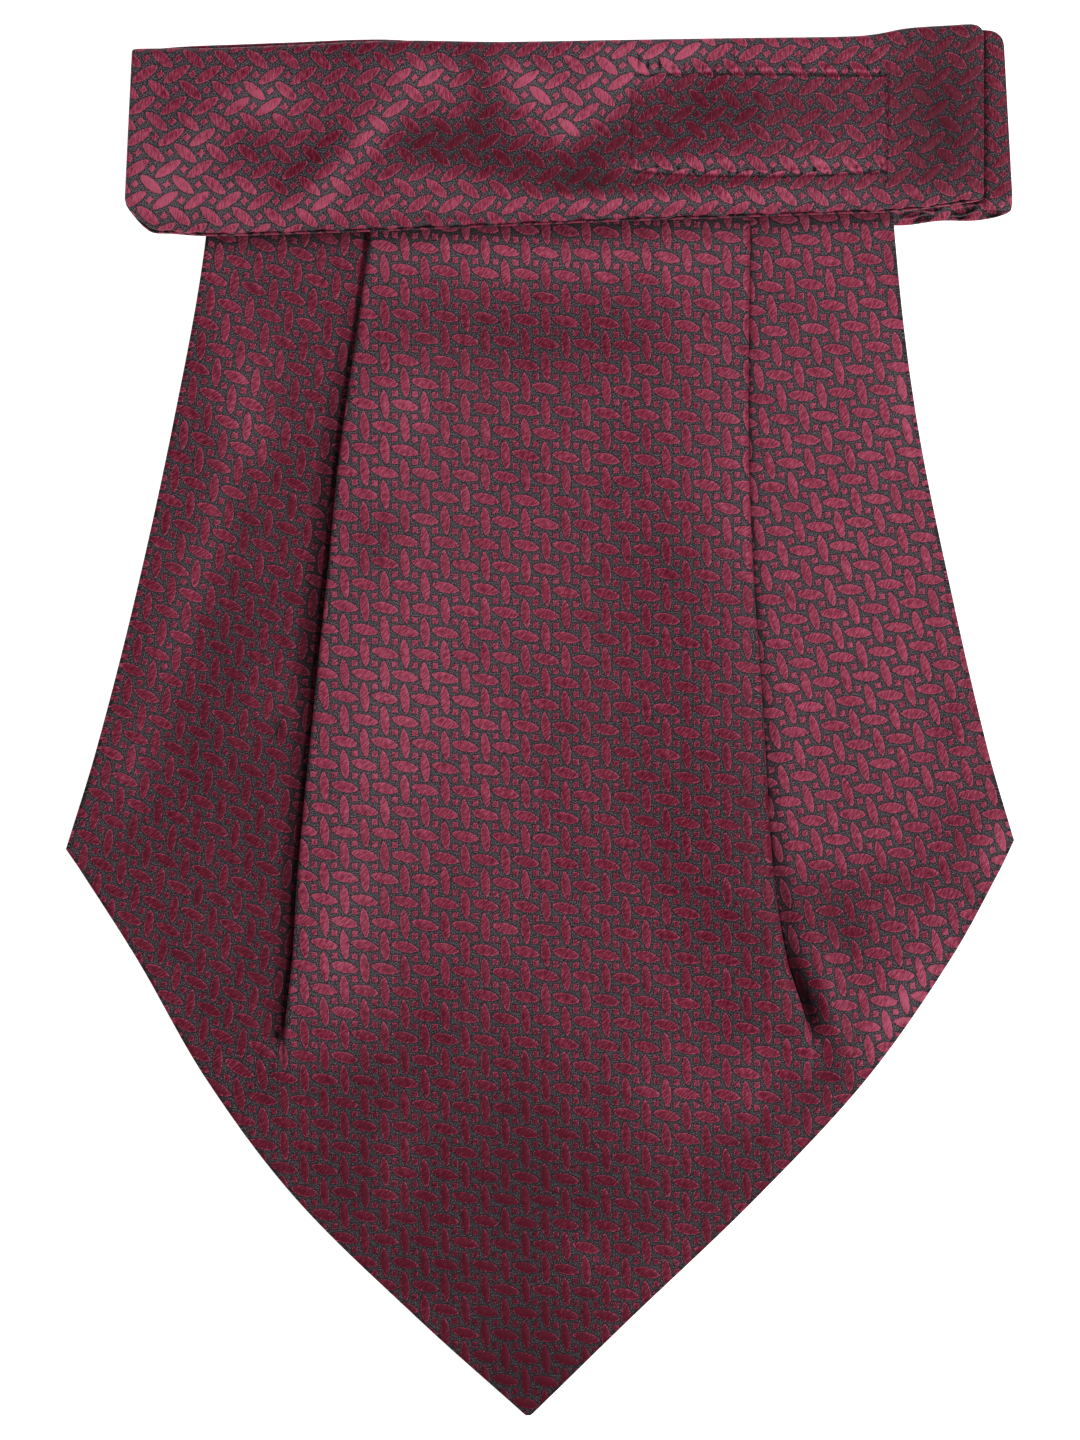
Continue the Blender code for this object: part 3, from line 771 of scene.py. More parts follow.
def wall_ring(y, section, face, underside, rim, looks):
    """Closed ring around the wall of one row: points, cloth X and Y, and painted sheen with painted
    shade.
    """
    x, z, direction = section[:, :3].T
    level = np.full(len(x), y)
    upper = np.stack([x - face * np.sin(direction), level, z + face * np.cos(direction)], 1)
    lower = np.stack([x + underside * np.sin(direction), level, z - underside * np.cos(direction)], 1)
    middle = (face - underside) / 2
    half = (face + underside) / 2
    right_end = round_end(x[-1], y, z[-1] + middle, rim, half)
    left_end = round_end(x[0], y, z[0] + middle, -rim, -half)
    points = np.concatenate([upper, right_end, lower[::-1], left_end])
    ends = len(ROUND_ANGLES)
    count = len(x)
    order = list(range(count)) + [count - 1] * ends + list(range(count))[::-1] + [0] * ends + [0]
    return points, section[order][:, CLOTH], looks[order[:-1]]


def lattice_places(lattice, cloth):
    """Places on the weave's lattice, whose tall lenses lie at whole numbers of both."""
    basis = np.array([lattice["right"], lattice["up"]]).T
    repeats = (np.asarray(cloth) - np.array(lattice["origin"])) @ np.linalg.inv(basis).T
    return np.stack([repeats[..., 0] + repeats[..., 1], repeats[..., 0] - repeats[..., 1]], -1)


def make_cloth(name, rings, lattice, material, closed):
    """A mesh through rings of points, with its weave, and its painted sheen and painted shade stored on
    it.
    """
    points = np.array([ring[0] for ring in rings])
    weave = lattice_places(lattice, np.array([ring[1] for ring in rings]))
    looks = np.array([ring[2] for ring in rings])
    rows, count = points.shape[:2]
    last = rows if closed else rows - 1
    faces = []
    corners = []
    for row in range(last):
        following = (row + 1) % rows
        here = row * count
        there = following * count
        for i in range(count):
            j = (i + 1) % count
            faces.append((here + i, there + i, there + j, here + j))
            corners += [weave[row, i], weave[following, i], weave[following, i + 1], weave[row, i + 1]]
    if not closed:
        faces.append(tuple(range(count)))
        corners += list(weave[0, :count])
        faces.append(tuple((rows - 1) * count + i for i in reversed(range(count))))
        corners += [weave[-1, i] for i in reversed(range(count))]
    mesh = bpy.data.meshes.new(name)
    mesh.from_pydata((points.reshape(-1, 3) * MM).tolist(), [], faces)
    layer = mesh.uv_layers.new(name="weave")
    layer.data.foreach_set("uv", np.array(corners, np.float32).ravel())
    # Stores the painted sheen and the painted shade on the points
    for column, look in enumerate(("painted_sheen", "shade")):
        attribute = mesh.attributes.new(look, "FLOAT", "POINT")
        attribute.data.foreach_set("value", looks[..., column].astype(np.float32).ravel())
    face_out(mesh)
    mesh.shade_smooth()
    return add_piece(mesh, material)


def add_piece(mesh, material):
    """Puts a mesh in the scene, with its own name and a material."""
    mesh.materials.append(material)
    piece = bpy.data.objects.new(mesh.name, mesh)
    bpy.context.scene.collection.objects.link(piece)
    return piece


def face_out(mesh):
    """Turns every face of a closed mesh outwards."""
    shape = bmesh.new()
    shape.from_mesh(mesh)
    bmesh.ops.recalc_face_normals(shape, faces=shape.faces)
    shape.to_mesh(mesh)
    shape.free()


def make_front_blade(material):
    rings = []
    for y in blade_rows():
        section = front_section(y)
        raise_creases(section, y)
        looks = np.stack([blade_painted_sheen(section, y), blade_shade(section, y)], 1)
        rings.append(wall_ring(y, section, FACE, UNDERSIDE, rim_width(y), looks))
    return make_cloth("front_blade_silk", rings, BLADE_LATTICE, material, closed=False)


def make_rear_blade(material):
    rings = []
    half = REAR_THICKNESS / 2
    count = round((REAR_TOP - REAR_TIP) / REAR_SPACING)
    for i in range(count + 1):
        y = mix(REAR_TOP, REAR_TIP, i / count)
        left, right = blade_edges(y)
        x = np.linspace(left + REAR_INSET + half, right - REAR_INSET - half, REAR_STEPS)
        section = section_of(x, half, 0.0, -x, y, 0.0)
        # The side panels' painted sheen, painted on the rear blade too
        painted_sheen = patch_sum(SIDE_PAINTED_SHEEN, "tone", x, np.full(REAR_STEPS, y))
        looks = np.stack([painted_sheen, np.zeros(REAR_STEPS)], 1)
        rings.append(wall_ring(y, section, half, half, half, looks))
    return make_cloth("rear_blade_silk", rings, BLADE_LATTICE, material, closed=False)


def arc_points(centre, radius, start, end, steps):
    """Points of an arc as way from the foot and height, with angles in degrees."""
    angles = [math.radians(mix(start, end, i / steps)) for i in range(steps + 1)]
    return [(centre[0] + radius * math.cos(a), centre[1] + radius * math.sin(a)) for a in angles]


def level_run(start, end, height, steps, first=0):
    """Points from start to just before end, all at one height."""
    return [(mix(start, end, i / steps), height) for i in range(first, steps)]


def band_profile(width, setback):
    """Cross-section of the front stretch: way from its foot and height, and where its face begins."""
    small = BAND_FOLD / 2
    full = 2 * BAND_FOLD
    middle = width / 2
    under_foot = level_run(middle, small, 0.0, TUBE_STEPS)
    lower = arc_points((small, small), small, 270, CREVICE_ANGLES["lower"], TUBE_STEPS)
    notch = [(setback + small + BAND_NOTCH, BAND_FOLD)]
    upper_middle = (setback + small, BAND_FOLD + small)
    upper = arc_points(upper_middle, small, CREVICE_ANGLES["upper"], 90, TUBE_STEPS)
    start = upper[-1][0]
    shares = []
    ends = FACE_SPANS["share"][1:] + (1.0,)
    for first, last, steps in zip(FACE_SPANS["share"], ends, FACE_SPANS["steps"]):
        shares += [mix(first, last, i / steps) for i in range(steps)]
    face = [(mix(start, width - BAND_FOLD, share), full) for share in shares[1:]]
    head = arc_points((width - BAND_FOLD, BAND_FOLD), BAND_FOLD, 90, -90, TUBE_STEPS)
    under_head = level_run(width - BAND_FOLD, middle, 0.0, TUBE_STEPS, first=1)
    profile = under_foot + lower + notch + upper + face + head + under_head
    return profile, len(under_foot + lower + notch + upper) - 1


def band_setback(x):
    """How far the upper of the band's two folded edges is set back, in uneven waves."""
    setback = BAND_SETBACK
    for length, height in zip(SETBACK_WAVES["length"], SETBACK_WAVES["height"]):
        setback += height * math.sin(2 * math.pi * x / length + length)
    return setback


def stretch_profile(width):
    """Cross-section of a stretch folded behind, as a flattened tube."""
    small = STRETCH_HEIGHT / 2
    middle = width / 2
    under_foot = level_run(middle, small, 0.0, TUBE_STEPS)
    foot = arc_points((small, small), small, 270, 90, TUBE_STEPS)
    face = level_run(small, width - small, STRETCH_HEIGHT, STRETCH_FACE_STEPS, first=1)
    head = arc_points((width - small, small), small, 90, -90, TUBE_STEPS)
    under_head = level_run(width - small, middle, 0.0, TUBE_STEPS, first=1)
    profile = under_foot + foot + face + head + under_head
    return profile, len(under_foot + foot) - 1


def cloth_ways(profile, first_face):
    """Way around a closed profile, equal to the way from the foot where the face begins."""
    closed = np.array(profile + profile[:1])
    steps = np.hypot(*np.diff(closed, axis=0).T)
    ways = np.concatenate([[0.0], np.cumsum(steps)])
    return ways - ways[first_face] + profile[first_face][0]


def section_stations(sections, spacing, fine=None):
    """Row numbers along a table of sections, closely spaced, and more closely where it is fine."""
    stations = [0.0]
    foot_x = sections["foot_x"]
    for i in range(len(sections["row"]) - 1):
        run = max(sections[end][i + 1] - sections[end][i] for end in ("top_x", "foot_x"))
        is_fine = fine and foot_x[i + 1] > fine["from"] and foot_x[i] < fine["to"]
        count = max(3, round(run / (fine["spacing"] if is_fine else spacing)))
        stations += [i + (j + 1) / count for j in range(count)]
    return stations


def tube_places(foot, top, profile):
    """X and Y of a profile's points, between the foot and the top edge of a flattened tube."""
    shares = np.array(profile)[:, 0] / math.dist(foot, top)
    return mix(foot[0], top[0], shares), mix(foot[1], top[1], shares)


def tube_ring(foot, top, profile, ways, heights, looks, lift=0.0):
    """Ring of a flattened tube between its foot and its top edge, its cloth lifted a little."""
    x, y = tube_places(foot, top, profile)
    parts = np.asarray(ways) / math.dist(foot, top)
    cloth = np.stack([mix(foot[0], top[0], parts), mix(foot[1], top[1], parts) - lift], 1)
    return np.stack([x, y, heights], 1), cloth, looks


def inner_profile(profile, full, inner):
    """The inside of a flattened tube's wall, almost shut."""
    ways = np.array(profile)[:, 0]
    heights = np.array(profile)[:, 1]
    width = ways.max()
    kept = np.clip(ways, inner["foot"], width - inner["head"])
    return list(zip(kept, mix(full / 2, heights, inner["share"])))


def line_away(line, x, y):
    """Distance of each point from a line of several straight parts."""
    best = np.full_like(x, np.inf)
    for (x1, y1), (x2, y2) in zip(line, line[1:]):
        length = math.hypot(x2 - x1, y2 - y1)
        part = np.clip(((x - x1) * (x2 - x1) + (y - y1) * (y2 - y1)) / length ** 2, 0, 1)
        best = np.minimum(best, np.hypot(x - mix(x1, x2, part), y - mix(y1, y2, part)))
    return best


def line_points(line, spacing):
    """Points along a line of several straight parts, with the direction there."""
    points = []
    for (x1, y1), (x2, y2) in zip(line, line[1:]):
        length = math.hypot(x2 - x1, y2 - y1)
        count = max(1, round(length / spacing))
        direction = math.atan2(y2 - y1, x2 - x1)
        for i in range(count):
            part = (i + 0.5) / count
            points.append((mix(x1, x2, part), mix(y1, y2, part), direction))
    return points


def sewn_lines(x, y):
    """Depth of the sewn rectangle's grooves and puckers, and the share of the ridges beside them."""
    depth = np.zeros_like(x)
    ridge = np.zeros_like(x)
    for name in ("left", "right"):
        away = line_away(BOX_LINES[name], x, y)
        depth += GROOVE_DEPTH[name] * ease(GROOVE_REACH[name], 0, away)
    for name in ("top", "foot"):
        line_x, line_y = zip(*BOX_LINES[name])
        up = y - np.interp(x, line_x, line_y)
        along = ease(line_x[0] - LINE_FADE, line_x[0] + LINE_FADE, x)
        along *= ease(line_x[-1] + LINE_FADE, line_x[-1] - LINE_FADE, x)
        depth += along * GROOVE_DEPTH[name] * ease(GROOVE_REACH[name], 0, np.abs(up))
        ridge += along * ease(RIDGE_REACH, 0, np.abs(up - RIDGE_AWAY[name]))
        depth += pucker_depth(name, x, y)
    return depth, ridge


def pucker_depth(name, x, y):
    """Small slits that the sewing pulls into the cloth above a line."""
    depth = np.zeros_like(x)
    for i, (px, py, _) in enumerate(line_points(BOX_LINES[name], PUCKER_SPACING[name])):
        shift = PUCKER_SHIFT["size"] * math.sin(PUCKER_SHIFT["pace"] * i)
        uneven = PUCKER_UNEVEN["size"] * math.sin(PUCKER_UNEVEN["pace"] * i + PUCKER_UNEVEN["start"])
        longer = LONG_PUCKERS["more"] * ease(LONG_PUCKERS["from"], LONG_PUCKERS["to"], px)
        length = PUCKER_LENGTH * (1 + uneven + longer * (name == "top"))
        across = ease(PUCKER_REACH, 0, np.abs(x - px - shift))
        depth += PUCKER_DEPTH * across * ease(length, 0, np.abs(y - py - length))
    return depth


def band_ends(sections, row):
    """The foot and the top end of a cross-section, each as X and Y."""
    foot = [on_curve(sections, "row", column, row) for column in ("foot_x", "foot_y")]
    top = [on_curve(sections, "row", column, row) for column in ("top_x", "top_y")]
    return foot, top


def band_relief(x, y, place, width, past_end):
    """What the crown and the creases add to the front stretch's face."""
    crown = BAND_CROWN * np.sin(math.pi * np.clip(place[:, 0] / width, 0, 1))
    clear = between(0, width, BAND_CLEAR, place[:, 0]) * ease(0, BAND_END_CLEAR, past_end)
    return crown, crease_height(BAND_CREASES, x, y) * clear


def band_looks(x, y, place, sewn, ridge, on_top):
    """Painted sheen and painted shade of the front stretch: painted darker in the sewing and between
    its folded edges, and painted brighter on the ridges and at its foot.
    """
    near_foot = place[:, 0] < FOOT_DEPTH
    crevice = ease(CREVICE_REACH, 0, np.abs(place[:, 1] - BAND_FOLD)) * near_foot
    sewn_shade = SEWN_SHADE * np.clip(sewn / SEWN_FULL, 0, 1) * on_top
    at_end = END_SHADE["depth"] * ease(END_SHADE["from"], END_SHADE["to"], x)
    shade = np.maximum(CREVICE_SHADE * crevice, sewn_shade) * (1 - at_end) + at_end
    painted_sheen = patch_sum(BAND_PAINTED_SHEEN, "tone", x, y) + SEWN_SHINE * ridge * on_top
    painted_sheen += FOOT_SHINE * ease(FOOT_DEPTH, 0, place[:, 0]) * (1 - crevice)
    return np.stack([painted_sheen, shade], 1)


def make_neckband_front(material):
    outer = []
    inner = []
    for row in section_stations(BAND_SECTIONS, BAND_SPACING, SEWN_SPACING):
        foot, top = band_ends(BAND_SECTIONS, row)
        width = math.dist(foot, top)
        profile, first_face = band_profile(width, band_setback(foot[0]))
        place = np.array(profile)
        x, y = tube_places(foot, top, profile)
        thickness = on_lines(BAND_SECTIONS, "row", "thickness", row)
        rest = np.array([on_lines(BAND_REST, "x", "z", at) for at in x])
        on_top = ease(BAND_FOLD + TOP_FROM, 2 * BAND_FOLD, place[:, 1])
        crown, creases = band_relief(x, y, place, width, x - foot[0] + row)
        sewn, ridge = sewn_lines(x, y)
        raised = on_top * (crown + creases * thickness - sewn + RIDGE_HEIGHT * ridge)
        heights = rest + BAND_FOLD + (place[:, 1] - BAND_FOLD) * thickness + raised
        looks = band_looks(x, y, place, sewn, ridge, on_top)
        lift = on_curve(BAND_LIFT, "x", "lift", (foot[0] + top[0]) / 2)
        ways = cloth_ways(profile, first_face)
        outer.append(tube_ring(foot, top, profile, ways, heights, looks, lift))
        hollow = inner_profile(profile, 2 * BAND_FOLD, BAND_INNER)
        hollow_heights = rest + BAND_FOLD + (np.array(hollow)[:, 1] - BAND_FOLD) * thickness
        inner.append(tube_ring(foot, top, hollow, ways, hollow_heights, looks, lift))
    return make_cloth("neckband_front_silk", outer + inner[::-1], BAND_LATTICE, material, closed=True)


def layer_shade(layer, place, x, y):
    """Shade under a layer's edge, beside the layer above it and beside the front stretch's end."""
    at_edge = place[:, 0] < 2 * LAYER_SHOWN
    under = ease(UNDER_REACH, 0, place[:, 1]) * at_edge
    wave = np.sin(2 * math.pi * x / LAYER_GAP["length"][layer])
    gap = LAYER_GAP["middle"] + LAYER_GAP["wave"] * wave
    covered = ease(LAYER_SHOWN - gap - LAYER_EDGE, LAYER_SHOWN - gap, place[:, 0]) * at_edge
    covered *= x < BESIDE_END["x"]
    shade = CREVICE_SHADE * np.maximum(under, covered) + patch_sum(OPENING, "depth", x, y)
    shade = np.clip(shade, 0, 1)
    if layer == STRETCHES - 1:
        beside = BESIDE_END["depth"] * ease(BESIDE_END["reach"], 0, np.abs(x - BESIDE_END["x"]))
        shade = np.maximum(shade, beside)
    return shade


def stretch_ends(layer, row):
    """The foot and the top end of a folded stretch, whose edge waves and steps back by layer."""
    foot, top = band_ends(STRETCH_SECTIONS, row)
    wave = math.sin(2 * math.pi * foot[0] / EDGE_WAVES["length"][layer] + EDGE_WAVES["phase"][layer])
    foot[1] += EDGE_WAVES["height"][layer] * (1 + wave)
    foot[1] += layer * STAGGER * float(ease(STAGGER_FROM, STAGGER_TO, foot[0]))
    return foot, top


def make_stretch(layer, material):
    """One of the stretches folded behind, counted from the table up."""
    outer = []
    inner = []
    middle = layer * WALL + STRETCH_HEIGHT / 2
    for row in section_stations(STRETCH_SECTIONS, STRETCH_SPACING):
        foot, top = stretch_ends(layer, row)
        profile, first_face = stretch_profile(math.dist(foot, top))
        place = np.array(profile)
        x, y = tube_places(foot, top, profile)
        thickness = on_lines(STRETCH_SECTIONS, "row", "thickness", row)
        on_top = ease(STRETCH_HEIGHT / 2, STRETCH_HEIGHT, place[:, 1]) * (layer == STRETCHES - 1)
        creases = on_top * crease_height(STRETCH_CREASES, x, y)
        heights = middle + (place[:, 1] - STRETCH_HEIGHT / 2) * thickness + creases
        # Painted sheen: the stretch is painted darker, with a painted highlight on the edge it shows
        painted_sheen = STRETCH_PAINTED_SHEEN + LAYER_SHINE * ease(2 * LAYER_SHOWN, LAYER_SHOWN, place[:, 0])
        looks = np.stack([painted_sheen, layer_shade(layer, place, x, y)], 1)
        ways = cloth_ways(profile, first_face)
        outer.append(tube_ring(foot, top, profile, ways, heights, looks))
        hollow = inner_profile(profile, STRETCH_HEIGHT, STRETCH_INNER)
        hollow_heights = middle + (np.array(hollow)[:, 1] - STRETCH_HEIGHT / 2) * thickness
        inner.append(tube_ring(foot, top, hollow, ways, hollow_heights, looks))
    name = f"neckband_stretch_{layer + 2}"
    return make_cloth(name, outer + inner[::-1], FOLD_LATTICE, material, closed=True)


def join(tree, socket, value):
    """Links a socket or sets its value."""
    if isinstance(value, bpy.types.NodeSocket):
        tree.links.new(value, socket)
    else:
        socket.default_value = value


def calc(tree, operation, *values):
    """One step of arithmetic on sockets and numbers."""
    made = tree.nodes.new("ShaderNodeMath")
    made.operation = operation
    for socket, value in zip(made.inputs, values):
        join(tree, socket, value)
    return made.outputs[0]


def soft_step(tree, value, start, end):
    """0 below start and 1 above end."""
    made = tree.nodes.new("ShaderNodeMapRange")
    made.interpolation_type = "SMOOTHSTEP"
    join(tree, made.inputs["Value"], value)
    made.inputs["From Min"].default_value = start
    made.inputs["From Max"].default_value = end
    return made.outputs["Result"]


def vector(tree, x, y):
    made = tree.nodes.new("ShaderNodeCombineXYZ")
    join(tree, made.inputs["X"], x)
    join(tree, made.inputs["Y"], y)
    return made.outputs["Vector"]


def noise(tree, form, x, y):
    """Noise in a plane, as fine along each way as its form says."""
    made = tree.nodes.new("ShaderNodeTexNoise")
    made.noise_dimensions = "2D"
    made.inputs["Scale"].default_value = 1.0
    made.inputs["Detail"].default_value = form["detail"]
    place_x = calc(tree, "MULTIPLY", x, form["fine_x"])
    place_y = calc(tree, "MULTIPLY", y, form["fine_y"])
    join(tree, made.inputs["Vector"], vector(tree, place_x, place_y))
    return made.outputs["Fac"]


def vary(tree, value, pattern, amount):
    """A value with a pattern added to it, which goes up and down around a half."""
    return calc(tree, "MULTIPLY_ADD", calc(tree, "SUBTRACT", pattern, 0.5), amount, value)


def stored(tree, name):
    """A look that make_cloth stored on the mesh: the painted sheen or the painted shade."""
    made = tree.nodes.new("ShaderNodeAttribute")
    made.attribute_name = name
    return made.outputs["Fac"]


def ramp(tree, value, stops):
    """Colour by value, through named stops."""
    made = tree.nodes.new("ShaderNodeValToRGB")
    elements = made.color_ramp.elements
    while len(elements) < len(stops):
        elements.new(1.0)
    for element, (position, colour) in zip(elements, stops):
        element.position = position
        element.color = (*colour, 1.0)
    join(tree, made.inputs["Fac"], value)
    return made.outputs["Color"]


def blend(tree, share, first, second):
    """Mixes two colours."""
    made = tree.nodes.new("ShaderNodeMix")
    made.data_type = "RGBA"
    colours = [socket for socket in made.inputs if socket.type == "RGBA"]
    join(tree, made.inputs["Factor"], share)
    join(tree, colours[0], first)
    join(tree, colours[1], second)
    return next(socket for socket in made.outputs if socket.type == "RGBA")


def new_material(name):
    """A material with its node tree and the node that gives its surface."""
    material = bpy.data.materials.new(name)
    material.use_nodes = True
    tree = material.node_tree
    return material, tree, tree.nodes["Principled BSDF"]


def set_inputs(node, values):
    """Sets a node's inputs by their names."""
    for name, value in values.items():
        node.inputs[name].default_value = value


def add_bump(tree, surface, height, bump):
    """Gives a surface fine relief."""
    made = tree.nodes.new("ShaderNodeBump")
    set_inputs(made, {"Strength": bump["strength"], "Distance": bump["height"]})
    tree.links.new(height, made.inputs["Height"])
    tree.links.new(made.outputs["Normal"], surface.inputs["Normal"])


def nearest(tree, value, shift):
    """The nearest place on a lattice line, and the distance from it."""
    moved = calc(tree, "SUBTRACT", value, shift)
    place = calc(tree, "ADD", calc(tree, "ROUND", moved), shift)
    return place, calc(tree, "SUBTRACT", value, place)


def offset_on_cloth(tree, p_off, q_off):
    """Distance across and up from a lattice place, in millimetres."""
    across = calc(tree, "MULTIPLY", calc(tree, "ADD", p_off, q_off), CELL[0] / 2)
    up = calc(tree, "MULTIPLY", calc(tree, "SUBTRACT", p_off, q_off), CELL[1] / 2)
    return across, up


def lens(tree, across, along, form):
    """Above 0 inside a lens and 1 at its middle."""
    cosine = math.cos(form["tilt"])
    sine = math.sin(form["tilt"])
    side = calc(tree, "MULTIPLY_ADD", along, sine, calc(tree, "MULTIPLY", across, cosine))
    ahead = calc(tree, "MULTIPLY_ADD", across, -sine, calc(tree, "MULTIPLY", along, cosine))
    side = calc(tree, "DIVIDE", calc(tree, "ABSOLUTE", side), form["half_width"])
    ahead = calc(tree, "DIVIDE", calc(tree, "ABSOLUTE", ahead), form["half_length"])
    side = calc(tree, "POWER", side, LENS_SIDE_POWER)
    ahead = calc(tree, "POWER", ahead, 2.0)
    return calc(tree, "SUBTRACT", calc(tree, "SUBTRACT", 1.0, side), ahead)


def square(tree, across, up):
    """Above 0 inside a small square with pinched sides."""
    reach = SQUARE_REACH * math.sqrt(2)
    total = 1.0
    for operation in ("ADD", "SUBTRACT"):
        part = calc(tree, "DIVIDE", calc(tree, "ABSOLUTE", calc(tree, operation, across, up)), reach)
        total = calc(tree, "SUBTRACT", total, calc(tree, "POWER", part, SQUARE_POWER))
    return total


def weave_places(tree):
    """Places on the weave's lattice, which make_cloth stored on the mesh."""
    uv = tree.nodes.new("ShaderNodeUVMap")
    uv.uv_map = "weave"
    split = tree.nodes.new("ShaderNodeSeparateXYZ")
    tree.links.new(uv.outputs["UV"], split.inputs["Vector"])
    return split.outputs["X"], split.outputs["Y"]


def weave_form(tree, p, q):
    """Above 0 inside the lenses and squares, and a number of its own for each lens."""
    p_whole, p_off = nearest(tree, p, 0.0)
    q_whole, q_off = nearest(tree, q, 0.0)
    p_half, p_half_off = nearest(tree, p, 0.5)
    q_half, q_half_off = nearest(tree, q, 0.5)
    tall = lens(tree, *offset_on_cloth(tree, p_off, q_off), TALL_LENS)
    across, up = offset_on_cloth(tree, p_half_off, q_half_off)
    flat = lens(tree, up, across, FLAT_LENS)
    first = square(tree, *offset_on_cloth(tree, p_half_off, q_off))
    second = square(tree, *offset_on_cloth(tree, p_off, q_half_off))
    lenses = calc(tree, "MAXIMUM", tall, flat)
    form = calc(tree, "MAXIMUM", lenses, calc(tree, "MAXIMUM", first, second))
    is_tall = calc(tree, "GREATER_THAN", tall, TALL_REACH)
    p_id = calc(tree, "MULTIPLY_ADD", is_tall, calc(tree, "SUBTRACT", p_whole, p_half), p_half)
    q_id = calc(tree, "MULTIPLY_ADD", is_tall, calc(tree, "SUBTRACT", q_whole, q_half), q_half)
    own = tree.nodes.new("ShaderNodeTexWhiteNoise")
    own.noise_dimensions = "2D"
    tree.links.new(vector(tree, p_id, q_id), own.inputs["Vector"])
    return form, own.outputs["Value"]


def rim_stitches(tree, form, specks):
    """1 at the pale stitches here and there along the rims of the lenses and squares."""
    rise = soft_step(tree, form, *RIM_RISE)
    rim = calc(tree, "SUBTRACT", rise, soft_step(tree, form, *RIM_FALL))
    return calc(tree, "MULTIPLY", rim, soft_step(tree, specks, *RIM_SPECKS))


def satin_colour(tree, painted_sheen, changes):
    """Colour of the satin threads, from the painted sheen and the patterns that change it."""
    tone = calc(tree, "MULTIPLY_ADD", painted_sheen, SATIN_TONE["painted_sheen"], SATIN_TONE["middle"])
    for name in ("threads", "own", "clouds"):
        tone = vary(tree, tone, changes[name], SATIN_TONE[name])
    tone = calc(tree, "MULTIPLY_ADD", changes["rim"], SATIN_TONE["rim"], tone)
    return ramp(tree, tone, FLOAT_RAMP)


def ground_colour(tree, painted_sheen, form, grain):
    """Colour of the dull ground, with the painted sheen, and painted shade beside the raised satin."""
    beside = soft_step(tree, form, *SHADE_BESIDE_FIGURE)
    tone = calc(tree, "MULTIPLY_ADD", beside, GROUND_TONE["beside"], grain)
    tone = calc(tree, "MULTIPLY_ADD", painted_sheen, GROUND_TONE["painted_sheen"], tone)
    return ramp(tree, tone, GROUND_RAMP)


def silk_colour(tree, ground, satin, floats, shade):
    """The ground and the satin together, each darkened by the shade in its own way."""
    lit = calc(tree, "SUBTRACT", 1.0, shade)
    on_ground = calc(tree, "SUBTRACT", 1.0, calc(tree, "POWER", lit, GROUND_SHADE_POWER))
    on_satin = calc(tree, "POWER", shade, SATIN_SHADE_POWER)
    ground = blend(tree, on_ground, ground, SHADE_COLOUR)
    satin = blend(tree, on_satin, satin, SHADE_COLOUR)
    return blend(tree, floats, ground, satin)


def weave_height(tree, form, floats, threads, grain):
    """Relief of the weave: the satin swells over the ground, and the threads over both."""
    swell = calc(tree, "POWER", calc(tree, "MAXIMUM", form, 0.0), 0.5)
    height = calc(tree, "MULTIPLY", swell, floats)
    height = calc(tree, "MULTIPLY_ADD", threads, THREAD_HEIGHT, height)
    return calc(tree, "MULTIPLY_ADD", grain, GRAIN_HEIGHT, height)


def silk(name):
    """Woven silk: satin lenses and small squares on a dull ground."""
    material, tree, surface = new_material(name)
    p, q = weave_places(tree)
    form, own = weave_form(tree, p, q)
    threads = noise(tree, THREADS, p, q)
    specks = noise(tree, SPECKS, p, q)
    clouds = noise(tree, CLOUDS, p, q)
    grain = noise(tree, GRAIN, *offset_on_cloth(tree, p, q))
    ragged = vary(tree, vary(tree, form, threads, RAGGED), specks, RAGGED)
    floats = soft_step(tree, ragged, *FLOAT_EDGE)
    # The painted sheen and the painted shade stored on the mesh
    painted_sheen = stored(tree, "painted_sheen")
    shade = stored(tree, "shade")
    rim = rim_stitches(tree, form, specks)
    changes = {"threads": threads, "own": own, "clouds": clouds, "rim": rim}
    satin = satin_colour(tree, painted_sheen, changes)
    ground = ground_colour(tree, painted_sheen, form, grain)
    tree.links.new(silk_colour(tree, ground, satin, floats, shade), surface.inputs["Base Color"])
    rough = calc(tree, "MULTIPLY_ADD", floats, SATIN_SMOOTHER, GROUND_ROUGHNESS)
    tree.links.new(calc(tree, "MAXIMUM", rough, shade), surface.inputs["Roughness"])
    add_bump(tree, surface, weave_height(tree, form, floats, threads, grain), WEAVE_BUMP)
    set_inputs(surface, SILK_GLOSS)
    return material


def thread_silk(name):
    """Sewing thread: twisted, a little brighter than the cloth."""
    material, tree, surface = new_material(name)
    place = tree.nodes.new("ShaderNodeTexCoord")
    twist = tree.nodes.new("ShaderNodeTexWave")
    twist.bands_direction = "DIAGONAL"
    twist.inputs["Scale"].default_value = TWIST_SCALE
    tree.links.new(place.outputs["Object"], twist.inputs["Vector"])
    tree.links.new(ramp(tree, twist.outputs["Fac"], TWIST_RAMP), surface.inputs["Base Color"])
    add_bump(tree, surface, twist.outputs["Fac"], TWIST_BUMP)
    set_inputs(surface, THREAD_GLOSS)
    return material


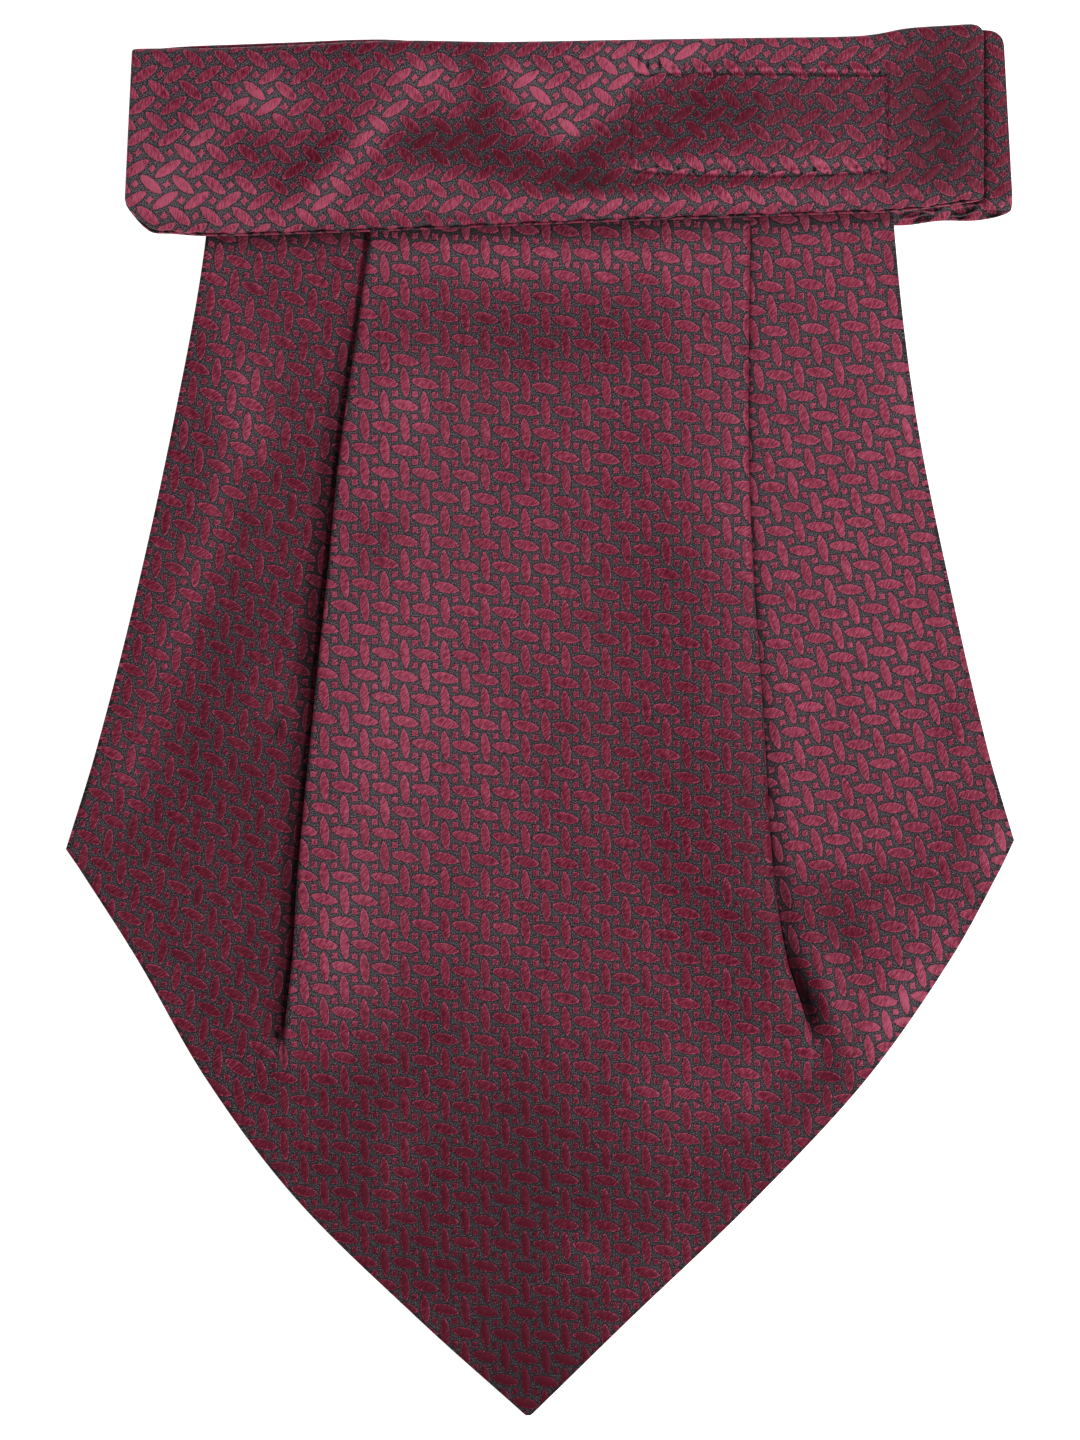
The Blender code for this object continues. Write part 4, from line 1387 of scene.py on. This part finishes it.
def make_stitches(band, material):
    """Short stitches along the sides of the sewn rectangle."""
    tree = BVHTree.FromObject(band, bpy.context.evaluated_depsgraph_get())
    form = Matrix.Diagonal((STITCH_LENGTH / 2 * MM, STITCH_RADIUS * MM, STITCH_RADIUS * MM, 1))
    shape = bmesh.new()
    for name in ("left", "right"):
        for i, (x, y, direction) in enumerate(line_points(BOX_LINES[name], STITCH_SPACING)):
            above = Vector((x * MM, y * MM, RAY_HEIGHT * MM))
            hit = tree.ray_cast(above, Vector((0, 0, -1)))[0]
            turn = direction + STITCH_TURN["size"] * math.sin(STITCH_TURN["pace"] * i)
            place = Matrix.Translation(hit) @ Matrix.Rotation(turn, 4, "Z") @ form
            sides = {"u_segments": STITCH_SIDES, "v_segments": STITCH_RINGS}
            bmesh.ops.create_uvsphere(shape, **sides, radius=1.0, matrix=place)
    mesh = bpy.data.meshes.new("box_stitches")
    shape.to_mesh(mesh)
    shape.free()
    mesh.shade_smooth()
    return add_piece(mesh, material)


def floor_material():
    """Pale paper that glows a little, so that it stays near white."""
    material, tree, surface = new_material("floor")
    speckle = tree.nodes.new("ShaderNodeTexNoise")
    speckle.inputs["Scale"].default_value = FLOOR_SPECKLE
    tree.links.new(ramp(tree, speckle.outputs["Fac"], FLOOR_RAMP), surface.inputs["Base Color"])
    set_inputs(surface, FLOOR_LOOK)
    return material


def make_floor():
    mesh = bpy.data.meshes.new("floor")
    reach = FLOOR_REACH
    corners = [(-reach, -reach, 0), (reach, -reach, 0), (reach, reach, 0), (-reach, reach, 0)]
    mesh.from_pydata(corners, [], [(0, 1, 2, 3)])
    add_piece(mesh, floor_material())


def make_lamp(name, place, size, power):
    light = bpy.data.lights.new(name, "AREA")
    light.size = size
    light.energy = power
    lamp = bpy.data.objects.new(name, light)
    lamp.location = place
    lamp.rotation_mode = "QUATERNION"
    lamp.rotation_quaternion = (-Vector(place)).to_track_quat("-Z", "Y")
    lamp.visible_camera = False
    bpy.context.scene.collection.objects.link(lamp)


def make_lights():
    world = bpy.data.worlds.new("studio")
    world.use_nodes = True
    set_inputs(world.node_tree.nodes["Background"], SKY)
    bpy.context.scene.world = world
    for lamp in table_rows(LAMPS):
        make_lamp(**lamp)


def make_camera():
    data = bpy.data.cameras.new("camera")
    data.sensor_width = SENSOR
    data.lens = CAMERA_LENS
    data.clip_start = CAMERA_NEAR
    camera = bpy.data.objects.new("camera", data)
    camera.location = (0.0, 0.0, CAMERA_HEIGHT)
    bpy.context.scene.collection.objects.link(camera)
    bpy.context.scene.camera = camera


def dress(piece, node):
    """The piece stands for its CAD node, which is hidden, and hangs under the root body."""
    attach(piece, "root")
    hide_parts(node)


def main():
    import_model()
    bpy.context.scene.view_settings.view_transform = "Standard"
    front = make_front_blade(silk("blade_silk"))
    dress(front, "front_blade")
    rear = make_rear_blade(silk("rear_silk"))
    dress(rear, "rear_blade")
    band = make_neckband_front(silk("band_silk"))
    dress(band, "neckband_front")
    fold_silk = silk("fold_silk")
    for layer in range(STRETCHES):
        stretch = make_stretch(layer, fold_silk)
        dress(stretch, "neckband_back")
    stitches = make_stitches(band, thread_silk("stitch_thread"))
    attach(stitches, "root")
    make_floor()
    make_lights()
    make_camera()


main()
